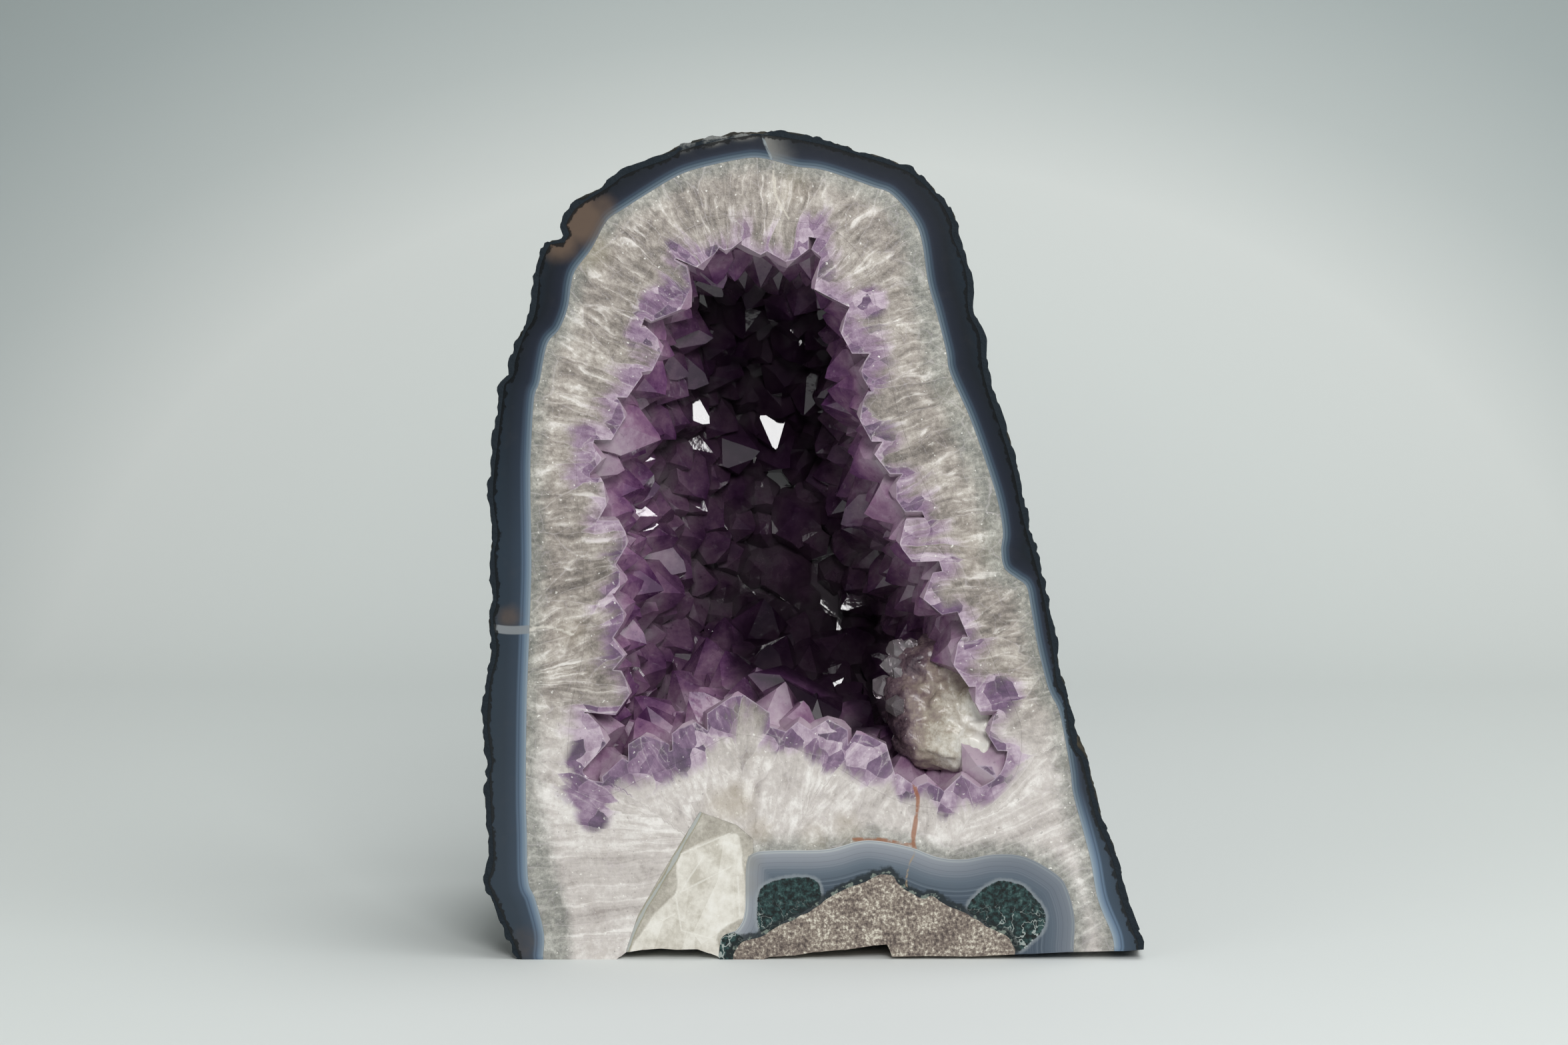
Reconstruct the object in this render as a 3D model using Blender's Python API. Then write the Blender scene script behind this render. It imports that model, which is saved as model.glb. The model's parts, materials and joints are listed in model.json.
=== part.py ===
"""Half of a tall amethyst geode, sawn flat in front and below, as seven solids nested with thin gaps.

Meshes are in metres, +Z up. The sawn face looks along -Y and the origin is on the sawn base.
Sizes and outlines below are in millimetres: x runs right, z up from the base, and "back" is the
distance behind the sawn face.
"""

import math
import random
from dataclasses import dataclass

import bmesh
import bpy
from mathutils import Matrix, Vector, noise

MM = 0.001

# Driving dimensions
FACE_Y = -80.0
GEODE_DEPTH = 165.0
RIND_THICKNESS = 2.5
AGATE_INNER_DEPTH = 148.0
HOOD_DEPTH = 151.0
TONGUE_DEPTH = 122.0
BOWL_DEPTH = 115.0
BLOCK_DEPTH = 46.0
CRUST_LAYER = 8.0
GAP = 0.4
RIND_LIFT = 0.3
BELOW_BASE = 8.0
OVERRUN = 8.0
CUTTER_OVERRUN = 12.0
SHARP_ANGLE = math.radians(35)

# The outside leans in towards the base behind the face, and has broad swells that fade at the face
UNDERCUT_HEIGHT = 110.0
UNDERCUT_SHARE = 0.18
SWELL_HEIGHT = 7.0
SWELL_WIDTH = 75.0
SWELL_RISE = 45.0
SEED = 7
PIT_DEPTH = 1.1
PIT_WIDTH = 16.0
HEART_HEIGHT = 90.0

# How full each dome is: 2 is an ellipsoid, more is boxier
SHELL_FULLNESS = 2.4
BOWL_FULLNESS = 2.2
SHELL_RINGS = 6
INNER_RINGS = 5

# Where each dome's outline shrinks to behind the face, as x and z
GEODE_HUB = (0.0, -BELOW_BASE)
HOOD_HUB = (30.0, -BELOW_BASE)
TONGUE_HUB = (22.0, -BELOW_BASE)
BOWL_HUB = (-12.0, 138.0)

# The box that the saw leaves: the geode is cut to its front and its floor
STOCK_SIDE = 150.0
STOCK_BACK = 130.0
STOCK_TOP = 330.0

# Outlines on the sawn face, from the left end of the base over the top to the right end
OUTER_EDGE = [
    (-109, 0), (-120.5, 28), (-119, 60), (-120.5, 86), (-117, 112), (-117, 150), (-118, 176),
    (-114, 206), (-108, 222), (-101.5, 244), (-94.5, 262), (-86, 275), (-68, 286.5), (-48, 295),
    (-18, 300.7), (10, 295.5), (37, 286), (51, 268), (57.5, 242), (63, 215), (74, 178), (84, 139),
    (90, 104), (98, 75), (107, 46), (114, 22), (120.5, 5),
]
AGATE_INNER_EDGE = [
    (-98, 1), (-101, 22), (-104, 50), (-104, 90), (-102, 135), (-102, 180), (-100, 206),
    (-93, 227), (-87, 243), (-80, 258), (-69, 271), (-48, 283.5), (-22, 289.8), (5, 285), (27, 277),
    (38, 262), (43, 236), (50, 209), (62, 180), (68, 156), (70, 142), (77, 134), (81, 118),
    (87, 97), (91.5, 80), (93.5, 64), (98, 46), (103, 22), (109, 4.6),
]
HOOD_EDGE = [
    (-34.6, 0), (-31, 9), (-26.5, 14), (-24.6, 30), (-21.5, 38.5), (-12, 40), (5, 40.5), (20, 43.6),
    (36, 41), (50, 36.6), (66, 38.6), (78, 37.2), (88, 31), (93.5, 20), (94.3, 4.3),
]
TONGUE_EDGE = [
    (-30, 2), (-26, 7), (-19, 9.3), (-10, 14), (0, 19.5), (10, 25.8), (25, 32), (30, 30),
    (35, 24.8), (42.5, 23.8), (52, 18.6), (65, 11.4), (71, 8.8), (73.6, 4),
]
BOWL_EDGE = [
    (-88, 66), (-88, 90), (-83, 115), (-83, 140), (-85, 165), (-85, 185), (-78, 207), (-68, 228),
    (-60, 248), (-47, 263), (-30, 269), (-12, 267.5), (5, 265), (17, 254), (22, 238), (26, 218),
    (31, 196), (38, 177), (46, 159), (52, 140), (60, 120), (68, 102), (75, 84), (72, 66), (58, 57),
    (38, 56), (22, 62), (7, 71), (-10, 78), (-28, 82), (-45, 74), (-62, 66), (-76, 60),
]
BLOCK_EDGE = [
    (-68.4, -8), (-68, 3.4), (-63.8, 16), (-54.7, 32), (-41.3, 54), (-28, 49.2), (-22, 44),
    (-22, 20), (-28, 8), (-30, -8),
]
# Height of the sawn base's front edge over the floor, where chips and a low arch lift it
BASE_LIFT = [
    (-140, -1), (-73, -1), (-69, 3.0), (-60, 4.6), (-47, 4.8), (-38, 3.0), (-33.5, -1), (-21, -1),
    (0, 2.6), (22, 6.5), (27, 6.7), (29, 1.4), (55, 1.7), (77, 2.6), (108, 3.8), (140, 6.3),
]
LIFT_DEPTH = 46.0

# Points of the crystals that the saw cut along the rim: x, z, heading in degrees, width
RIM_CRYSTALS = [
    (-73.7, 80, 0, 17), (-65.8, 97.7, -5, 14), (-67.4, 111, 0, 13), (-67.6, 125.3, 0, 13),
    (-67.2, 138.7, 0, 11), (-66.8, 152, 0, 15), (-73.8, 167.3, 0, 13), (-74.6, 182.2, 0, 13),
    (-67.2, 198, 0, 14), (-61.5, 212.4, 0, 14), (-54, 222.5, 10, 13), (-44.2, 236.2, -30, 19),
    (-40.3, 249.6, -75, 14), (-31.5, 255.4, -90, 12), (-19.6, 254.2, -90, 13),
    (-9.5, 250.5, -90, 13), (4.3, 252, -115, 13), (-1.0, 243, -160, 18), (9.0, 228.5, 180, 14),
    (16.0, 213.3, 180, 13), (15.4, 198.5, 180, 16), (21.1, 184.2, 180, 13), (27.0, 171.0, 180, 14),
    (29.6, 153, 182, 15), (38.2, 131.6, 190, 15), (49.6, 109.5, 180, 16), (56.0, 97.6, 180, 12),
    (62.0, 84.5, 178, 14), (53.5, 68.6, 92, 16), (40.5, 67.6, 90, 16), (29.5, 68.4, 90, 13),
    (15.6, 83.6, 106, 17), (5.2, 88.8, 92, 13), (-5.5, 88.4, 90, 15), (-28.0, 97.8, 90, 18),
    (-43.6, 87.6, 92, 15), (-60.2, 82.8, 90, 13), (-70.2, 74.6, 100, 14),
]
RIM_LENGTH = 27.0
RIM_BACK = (0.8, 3.6)

# Crystals over the rest of the hollow
WALL_CRYSTAL_SPACING = 22.5
WALL_CRYSTAL_WIDTH = (21.0, 29.0)
WALL_CRYSTAL_LENGTH = (17.0, 24.0)
WALL_CRYSTAL_TILT = math.radians(17)
WALL_FRONT = 11.0
POINT_STEEPNESS = 1.12
ROOT_TAPER = 0.85
SEED_RINGS = 10
SEED_TRIES = 6000
HEART_BACK = 30.0

# The crystal that lies behind the mound at the foot of the hollow: tip, root, width
LYING_TIP = (-24.0, 26.0, 100.0)
LYING_ROOT = (6.0, 31.0, 84.0)
LYING_WIDTH = 16.0

# Pale crystals grown together on the lower right wall: x, back, z, half length, half width, half
# height, turn, lean
CLUSTER_BLOCKS = [
    (58.5, 11.0, 80.0, 8.5, 9.5, 12.5, 8, 6),
    (55.0, 22.0, 90.0, 9.5, 11.0, 12.0, 28, 14),
    (48.0, 31.0, 97.0, 9.5, 10.5, 11.5, 50, 8),
    (41.0, 40.0, 104.0, 9.0, 9.5, 10.5, 20, 24),
    (47.0, 26.0, 80.0, 10.5, 10.0, 10.5, 64, 18),
    (36.0, 35.0, 88.0, 9.0, 9.0, 8.0, 38, 30),
    (33.0, 45.0, 108.0, 8.0, 8.0, 7.5, 75, 12),
]


@dataclass(frozen=True)
class Form:
    """One dome behind the face: its outline there, its hub, its depth and how it rounds to the back."""

    outline: list
    hub: tuple
    depth: float
    fullness: float
    rings: int

    def grown(self, distance):
        """The same dome made larger all round by a distance, or smaller by a negative one."""
        outline = moved_out(self.outline, distance)
        return Form(outline, self.hub, self.depth + distance, self.fullness, self.rings)


def clear_scene():
    """Remove every object of the scene that the file opened with."""
    for obj in list(bpy.data.objects):
        bpy.data.objects.remove(obj, do_unlink=True)


def material(name, colour, roughness, transmission=0.0):
    """A Principled material with one colour, given as red, green and blue in linear light."""
    made = bpy.data.materials.new(name)
    made.use_nodes = True
    shader = made.node_tree.nodes["Principled BSDF"]
    shader.inputs["Base Color"].default_value = (*colour, 1.0)
    shader.inputs["Roughness"].default_value = roughness
    shader.inputs["Metallic"].default_value = 0.0
    shader.inputs["Transmission Weight"].default_value = transmission
    made.diffuse_color = (*colour, 1.0)
    return made


def linked(name, mesh, finish=None):
    """Put a mesh into the scene as an object. One without a finish is a cutter and isn't rendered."""
    obj = bpy.data.objects.new(name, mesh)
    bpy.context.scene.collection.objects.link(obj)
    if finish is None:
        obj.hide_render = True
        obj.display_type = "WIRE"
    else:
        mesh.materials.append(finish)
    return obj


def mesh_from(name, points, faces):
    """A mesh from points in millimetres, with its faces turned outwards."""
    work = bmesh.new()
    corners = [work.verts.new(Vector(point) * MM) for point in points]
    for face in faces:
        work.faces.new([corners[index] for index in face])
    bmesh.ops.recalc_face_normals(work, faces=work.faces)
    mesh = bpy.data.meshes.new(name)
    work.to_mesh(mesh)
    work.free()
    return mesh


def curve_through(points, closed, steps):
    """Points on a smooth curve through the given points, with `steps` in each stretch."""
    count = len(points)
    found = []
    for index in range(count if closed else count - 1):
        if closed:
            near = [points[(index + shift) % count] for shift in (-1, 0, 1, 2)]
        else:
            near = [points[min(max(index + shift, 0), count - 1)] for shift in (-1, 0, 1, 2)]
        before, start, end, after = (Vector((*point, 0.0)) for point in near)
        for step in range(steps):
            t = step / steps
            spot = 0.5 * (
                2 * start
                + (end - before) * t
                + (2 * before - 5 * start + 4 * end - after) * t * t
                + (3 * start - before - 3 * end + after) * t * t * t
            )
            found.append((spot.x, spot.y))
    if not closed:
        found.append(tuple(points[-1]))
    return found


def down_to_base(edge, steps):
    """A closed outline from an open edge, carried straight down past the base at both ends."""
    curve = curve_through(edge, False, steps)
    left, right = curve[0], curve[-1]
    return [(left[0], -BELOW_BASE), *curve, (right[0], -BELOW_BASE)]


def moved_out(outline, distance):
    """The outline with each point moved outwards, away from the inside, by a distance."""
    area = sum(
        a[0] * b[1] - b[0] * a[1] for a, b in zip(outline, outline[1:] + outline[:1])
    )
    side = math.copysign(1.0, area)
    moved = []
    for index, point in enumerate(outline):
        back = Vector(outline[index - 1])
        ahead = Vector(outline[(index + 1) % len(outline)])
        here = Vector(point)
        first = (here - back).normalized()
        second = (ahead - here).normalized()
        along = (first + second).normalized()
        stretch = 1.0 / max(along.dot(first), 0.5)
        out = Vector((along.y, -along.x)) * side
        shifted = here + out * distance * stretch
        moved.append((shifted.x, shifted.y))
    return moved


def place(x, back, z):
    """The point at x, z on the face and `back` behind it, with the lean and the swells of the stone."""
    low = max(UNDERCUT_HEIGHT - z, 0.0) / UNDERCUT_HEIGHT
    spot = Vector((x, FACE_Y + back * (1.0 - UNDERCUT_SHARE * low * low), z))
    rise = min(max(back / SWELL_RISE, 0.0), 1.0)
    swell = noise.noise_vector(spot / SWELL_WIDTH) * SWELL_HEIGHT
    return spot + swell * rise * rise * (3.0 - 2.0 * rise)


def dome(form, overrun=OVERRUN, pits=0.0):
    """Points and faces of a closed dome: the outline on the face, shrinking to the hub at the back.

    The sides are triangles, so that nested domes fold along matching edges and keep their gap.
    """
    turns = [ring * math.pi / 2 / form.rings for ring in range(form.rings)]
    power = 2.0 / form.fullness
    sections = [(form.depth * math.sin(turn) ** power, math.cos(turn) ** power) for turn in turns]
    if overrun:
        sections.insert(0, (-overrun, 1.0))
    hub = form.hub
    heart = Vector((hub[0], 0.0, hub[1] + HEART_HEIGHT))
    points = []
    for back, scale in sections:
        for x, z in form.outline:
            spot = place(hub[0] + (x - hub[0]) * scale, back, hub[1] + (z - hub[1]) * scale)
            if pits and back > 0.0:
                spot += (spot - heart).normalized() * noise.noise(spot / PIT_WIDTH) * pits
            points.append(spot)
    count = len(form.outline)
    faces = [tuple(range(count))]
    for ring in range(len(sections) - 1):
        first = ring * count
        for index in range(count):
            after = (index + 1) % count
            faces.append((first + index, first + after, first + count + after))
            faces.append((first + index, first + count + after, first + count + index))
    points.append(place(hub[0], form.depth, hub[1]))
    last = (len(sections) - 1) * count
    for index in range(count):
        faces.append((last + index, last + (index + 1) % count, len(points) - 1))
    return points, faces


def box(name, low, high):
    """A box cutter between two corners."""
    corners = [(x, y, z) for x in (low[0], high[0]) for y in (low[1], high[1]) for z in (low[2], high[2])]
    faces = [(0, 1, 3, 2), (4, 6, 7, 5), (0, 4, 5, 1), (2, 3, 7, 6), (0, 2, 6, 4), (1, 5, 7, 3)]
    return linked(name, mesh_from(name, corners, faces))


def bridge(front, rear):
    """Points and faces of a closed block between two loops of as many points."""
    count = len(front)
    faces = [tuple(range(count)), tuple(range(2 * count - 1, count - 1, -1))]
    for index in range(count):
        after = (index + 1) % count
        faces.append((index, after, count + after, count + index))
    return front + rear, faces


def prism(outline, front, rear):
    """Points and faces of a straight block with this outline, from `front` to `rear` behind the face."""
    loops = [[(x, FACE_Y + back, z) for x, z in outline] for back in (front, rear)]
    return bridge(*loops)


def boolean(body, tool, operation, own_overlaps=False):
    """Add a Boolean of one object by another, as a modifier."""
    modifier = body.modifiers.new(tool.name, "BOOLEAN")
    modifier.operation = operation
    modifier.solver = "EXACT"
    modifier.object = tool
    modifier.use_self = own_overlaps


def cut(body, *tools):
    """Take each tool's shape out of the body."""
    for tool in tools:
        boolean(body, tool, "DIFFERENCE")


def crystal(tip, heading, width, length, roll, lean):
    """Points and faces of one six-sided crystal that ends in a point, a little off its axis."""
    heading = heading.normalized()
    turn = heading.to_track_quat("Z", "Y").to_matrix() @ Matrix.Rotation(roll, 3, "Z")
    radius = width / 2
    top = radius * POINT_STEEPNESS
    points = []
    for height, scale in ((-length, ROOT_TAPER), (-top, 1.0)):
        for side in range(6):
            angle = side * math.pi / 3
            spot = Vector((math.cos(angle), math.sin(angle), 0.0)) * radius * scale
            spot.z = height
            points.append(tip + turn @ spot)
    points.append(tip + turn @ Vector((lean[0] * radius, lean[1] * radius, 0.0)))
    faces = [(5, 4, 3, 2, 1, 0)]
    for side in range(6):
        after = (side + 1) % 6
        faces.append((side, after, 6 + after, 6 + side))
        faces.append((6 + side, 6 + after, 12))
    return points, faces


def merged(shapes):
    """Points and faces of several closed shapes as one list."""
    points, faces = [], []
    for more_points, more_faces in shapes:
        start = len(points)
        points += more_points
        faces += [tuple(start + index for index in face) for face in more_faces]
    return points, faces


def wall_seeds(dice):
    """Evenly scattered places on the wall of the hollow, each with the direction into the hollow."""
    points, faces = dome(Form(BOWL_EDGE, BOWL_HUB, BOWL_DEPTH, BOWL_FULLNESS, SEED_RINGS), 0.0)
    heart = Vector((BOWL_HUB[0], FACE_Y + HEART_BACK, BOWL_HUB[1]))
    corners, areas = [], []
    for face in faces[1:]:
        for second, third in zip(face[1:-1], face[2:]):
            triple = [Vector(points[face[0]]), Vector(points[second]), Vector(points[third])]
            corners.append(triple)
            areas.append((triple[1] - triple[0]).cross(triple[2] - triple[0]).length)
    kept = []
    for first, second, third in dice.choices(corners, areas, k=SEED_TRIES):
        a, b = dice.random(), dice.random()
        if a + b > 1.0:
            a, b = 1.0 - a, 1.0 - b
        spot = first + (second - first) * a + (third - first) * b
        inward = (second - first).cross(third - first).normalized()
        if inward.dot(heart - spot) < 0:
            inward = -inward
        if spot.y < FACE_Y + WALL_FRONT:
            continue
        if all((spot - other).length > WALL_CRYSTAL_SPACING for other, _ in kept):
            kept.append((spot, inward))
    return kept


def crystals():
    """Every crystal of the crust: the sawn ones of the rim, then those over the wall of the hollow."""
    dice = random.Random(SEED)
    shapes = []
    for x, z, degrees, width in RIM_CRYSTALS:
        angle = math.radians(degrees)
        heading = Vector((math.cos(angle), dice.uniform(-0.05, 0.0), math.sin(angle)))
        tip = Vector((x, FACE_Y + dice.uniform(*RIM_BACK), z))
        roll = dice.uniform(0, math.pi / 3)
        lean = (dice.uniform(-0.2, 0.2), dice.uniform(-0.1, 0.1))
        shapes.append(crystal(tip, heading, width, RIM_LENGTH, roll, lean))
    for spot, inward in wall_seeds(dice):
        axis = Vector((dice.gauss(0, 1), dice.gauss(0, 1), dice.gauss(0, 1))).normalized()
        heading = Matrix.Rotation(dice.uniform(0, WALL_CRYSTAL_TILT), 3, axis) @ inward
        tip = spot + heading * dice.uniform(*WALL_CRYSTAL_LENGTH)
        width = dice.uniform(*WALL_CRYSTAL_WIDTH)
        roll = dice.uniform(0, math.pi / 3)
        lean = (dice.uniform(-0.25, 0.25), dice.uniform(-0.25, 0.25))
        length = (tip - spot).length + CRUST_LAYER / 2
        shapes.append(crystal(tip, heading, width, length, roll, lean))
    tip = Vector((LYING_TIP[0], FACE_Y + LYING_TIP[1], LYING_TIP[2]))
    root = Vector((LYING_ROOT[0], FACE_Y + LYING_ROOT[1], LYING_ROOT[2]))
    shapes.append(crystal(tip, tip - root, LYING_WIDTH, (tip - root).length, 0.3, (0.1, 0.0)))
    return merged(shapes)


def cluster_block(x, back, z, half_length, half_width, half_height, turn, lean, grown):
    """Points and faces of one pale crystal: a block with its top corners cut back to a wedge."""
    half = Vector((half_length + grown, half_width + grown, half_height + grown))
    turned = Matrix.Rotation(math.radians(turn), 3, "Y") @ Matrix.Rotation(math.radians(lean), 3, "X")
    middle = Vector((x, FACE_Y + back, z))
    points = []
    for height, scale in ((-1.0, 1.0), (0.35, 1.0), (1.0, 0.62)):
        for side_x, side_y in ((-1, -1), (1, -1), (1, 1), (-1, 1)):
            corner = Vector((side_x * half.x * scale, side_y * half.y * scale, height * half.z))
            points.append(middle + turned @ corner)
    faces = [(3, 2, 1, 0), (8, 9, 10, 11)]
    for low in (0, 4):
        for side in range(4):
            after = (side + 1) % 4
            faces.append((low + side, low + after, low + 4 + after, low + 4 + side))
    return points, faces


def cluster(name, grown, finish=None):
    """The pale crystals of the lower right wall, joined in one solid."""
    first, *others = CLUSTER_BLOCKS
    body = linked(name, mesh_from(name, *cluster_block(*first, grown)), finish)
    for index, block in enumerate(others):
        shape = cluster_block(*block, grown)
        helper = linked(f"{name}_{index}", mesh_from(f"{name}_{index}", *shape))
        boolean(body, helper, "UNION")
    return body


def settled(body):
    """Give the body its Boolean result as its mesh, without pockets sealed off between crystals."""
    graph = bpy.context.evaluated_depsgraph_get()
    mesh = bpy.data.meshes.new_from_object(body.evaluated_get(graph))
    body.modifiers.clear()
    body.data = mesh
    work = bmesh.new()
    work.from_mesh(mesh)
    bmesh.ops.remove_doubles(work, verts=work.verts, dist=GAP * MM / 40)
    bmesh.ops.dissolve_degenerate(work, edges=work.edges, dist=GAP * MM / 40)
    left = set(work.verts)
    islands = []
    while left:
        island, frontier = set(), [left.pop()]
        while frontier:
            corner = frontier.pop()
            island.add(corner)
            for edge in corner.link_edges:
                other = edge.other_vert(corner)
                if other in left:
                    left.remove(other)
                    frontier.append(other)
        islands.append(island)
    islands.sort(key=len)
    stray = [corner for island in islands[:-1] for corner in island]
    bmesh.ops.delete(work, geom=stray, context="VERTS")
    work.to_mesh(mesh)
    work.free()


def base_chips():
    """The cutter for the chips and the low arch under the front of the base, which fade to the back."""
    low = -2 * BELOW_BASE
    loops = []
    for back, share in ((-OVERRUN, 1.0), (LIFT_DEPTH, 0.0)):
        upper = [(x, FACE_Y + back, z * share - (1.0 - share)) for x, z in BASE_LIFT]
        lower = [(x, FACE_Y + back, low) for x, _ in reversed(BASE_LIFT)]
        loops.append(upper + lower)
    return linked("base_chips", mesh_from("base_chips", *bridge(*loops)))


def layer(name, form, finish=None, pits=0.0):
    """One dome as an object. A cutter reaches further in front of the face."""
    overrun = OVERRUN if finish else CUTTER_OVERRUN
    return linked(name, mesh_from(name, *dome(form, overrun, pits)), finish)


def finishes():
    """The seven plain finishes, by the name of their node."""
    return {
        "basalt_rind": material("rough basalt skin", (0.035, 0.036, 0.033), 0.85),
        "agate_shell": material("sawn agate", (0.055, 0.075, 0.09), 0.35),
        "quartz_lining": material("milky quartz", (0.52, 0.5, 0.5), 0.35),
        "amethyst_crust": material("amethyst", (0.16, 0.06, 0.24), 0.12, 0.3),
        "basalt_tongue": material("sawn basalt", (0.17, 0.14, 0.13), 0.6),
        "calcite_block": material("cream calcite", (0.62, 0.55, 0.42), 0.4),
        "calcite_cluster": material("pale calcite", (0.6, 0.6, 0.5), 0.3),
    }


def saw(body, stock, chips):
    """Cut a body to the sawn face and the sawn base."""
    boolean(body, stock, "INTERSECT")
    cut(body, chips)


def build_rind(form, finish, chips):
    """The thin dark skin of host rock. Its lower edge stays just off the floor."""
    rind = layer("basalt_rind", form, finish, PIT_DEPTH)
    cut(rind, layer("under_rind", form.grown(GAP - RIND_THICKNESS)))
    low, high = (-STOCK_SIDE, FACE_Y, RIND_LIFT), (STOCK_SIDE, STOCK_BACK, STOCK_TOP)
    saw(rind, box("rind_stock", low, high), chips)
    return rind


def build_shell(form, lining_form, hood_form, tongue_form, finish):
    """The banded agate inside the rind, and the hood of agate over the rock tongue in the base."""
    shell = layer("agate_shell", form, finish)
    cut(shell, layer("lining_room", lining_form.grown(GAP)))
    boolean(shell, layer("hood", hood_form), "UNION")
    cut(shell, layer("tongue_room", tongue_form.grown(GAP)))
    return shell


def build_crust(bowl_form, finish, cluster_room):
    """The amethyst crust: the bowl-shaped room in the quartz, less the hollow between the crystals."""
    hollow = layer("hollow", bowl_form.grown(-CRUST_LAYER))
    points = linked("crystal_points", mesh_from("crystal_points", *crystals()))
    boolean(hollow, points, "DIFFERENCE", own_overlaps=True)
    settled(hollow)
    crust_mesh = mesh_from("amethyst_crust", *dome(bowl_form.grown(-GAP), 0.0))
    cut(linked("amethyst_crust", crust_mesh, finish), hollow, cluster_room)


def build():
    """Make every node, with the cutters that part it from its neighbours."""
    clear_scene()
    noise.seed_set(SEED)
    finish = finishes()
    outer = Form(down_to_base(OUTER_EDGE, 2), GEODE_HUB, GEODE_DEPTH, SHELL_FULLNESS, SHELL_RINGS)
    lining_edge = down_to_base(AGATE_INNER_EDGE, 1)
    lining_form = Form(lining_edge, GEODE_HUB, AGATE_INNER_DEPTH, SHELL_FULLNESS, SHELL_RINGS)
    hood_form = Form(down_to_base(HOOD_EDGE, 2), HOOD_HUB, HOOD_DEPTH, SHELL_FULLNESS, INNER_RINGS)
    tongue_edge = down_to_base(TONGUE_EDGE, 1)
    tongue_form = Form(tongue_edge, TONGUE_HUB, TONGUE_DEPTH, BOWL_FULLNESS, INNER_RINGS)
    bowl_form = Form(BOWL_EDGE, BOWL_HUB, BOWL_DEPTH, BOWL_FULLNESS, INNER_RINGS)

    stock = box("stock", (-STOCK_SIDE, FACE_Y, 0), (STOCK_SIDE, STOCK_BACK, STOCK_TOP))
    chips = base_chips()
    hood_room = layer("hood_room", hood_form.grown(GAP))
    bowl_room = layer("bowl_room", bowl_form)
    cluster_room = cluster("cluster_room", GAP)
    block_room_shape = prism(moved_out(BLOCK_EDGE, GAP), -CUTTER_OVERRUN, BLOCK_DEPTH + GAP)
    block_room = linked("block_room", mesh_from("block_room", *block_room_shape))

    rind = build_rind(outer, finish["basalt_rind"], chips)
    agate_form = outer.grown(-RIND_THICKNESS)
    shell = build_shell(agate_form, lining_form, hood_form, tongue_form, finish["agate_shell"])
    lining = layer("quartz_lining", lining_form, finish["quartz_lining"])
    cut(lining, hood_room, bowl_room, block_room, cluster_room)
    tongue = layer("basalt_tongue", tongue_form, finish["basalt_tongue"])
    block_shape = prism(BLOCK_EDGE, -OVERRUN, BLOCK_DEPTH)
    block = linked("calcite_block", mesh_from("calcite_block", *block_shape), finish["calcite_block"])
    cut(block, hood_room)
    for body in (shell, lining, tongue, block):
        saw(body, stock, chips)

    build_crust(bowl_form, finish["amethyst_crust"], cluster_room)
    cluster("calcite_cluster", 0.0, finish["calcite_cluster"])

    for smooth in (rind, shell, lining, tongue):
        smooth.data.shade_smooth()
        smooth.data.set_sharp_from_angle(angle=SHARP_ANGLE)


build()
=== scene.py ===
"""Finished look of a sawn amethyst geode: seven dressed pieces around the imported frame, and a studio.

Lengths are millimetres until a mesh is made, where they become metres. The sawn face lies in the
plane y = FACE_Y and looks along -Y, +Z is up, and `back` is the distance behind the sawn face.
"""

from __future__ import annotations

import json
import logging
import math
import random
from dataclasses import dataclass, field
from enum import Enum
from typing import Any, Iterable, Sequence

import bmesh
import bpy
import numpy as np
from mathutils import Matrix, Vector, noise
from mathutils.bvhtree import BVHTree
from mathutils.geometry import delaunay_2d_cdt
from mathutils.kdtree import KDTree

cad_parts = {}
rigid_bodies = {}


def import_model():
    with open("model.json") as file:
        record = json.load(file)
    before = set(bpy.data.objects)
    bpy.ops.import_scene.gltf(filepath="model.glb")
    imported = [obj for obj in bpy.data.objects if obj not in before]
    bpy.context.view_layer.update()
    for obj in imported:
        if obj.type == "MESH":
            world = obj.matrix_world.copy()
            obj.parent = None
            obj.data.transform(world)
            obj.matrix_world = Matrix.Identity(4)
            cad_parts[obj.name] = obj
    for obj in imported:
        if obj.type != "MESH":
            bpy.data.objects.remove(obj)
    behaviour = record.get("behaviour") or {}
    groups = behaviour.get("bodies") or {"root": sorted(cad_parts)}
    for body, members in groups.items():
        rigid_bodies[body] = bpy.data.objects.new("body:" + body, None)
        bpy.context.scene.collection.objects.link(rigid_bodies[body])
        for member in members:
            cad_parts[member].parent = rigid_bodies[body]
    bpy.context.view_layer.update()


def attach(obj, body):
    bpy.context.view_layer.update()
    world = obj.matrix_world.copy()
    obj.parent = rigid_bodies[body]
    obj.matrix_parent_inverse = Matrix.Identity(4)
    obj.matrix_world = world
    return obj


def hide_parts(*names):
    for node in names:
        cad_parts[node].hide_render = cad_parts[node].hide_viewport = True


LOG = logging.getLogger("amethyst_geode")
MM = 0.001
Outline = Sequence[tuple[float, float]]
Rows = Sequence[tuple[float, ...]]
Stops = Sequence[tuple[float, str]]
Faces = list[tuple[int, ...]]

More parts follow.
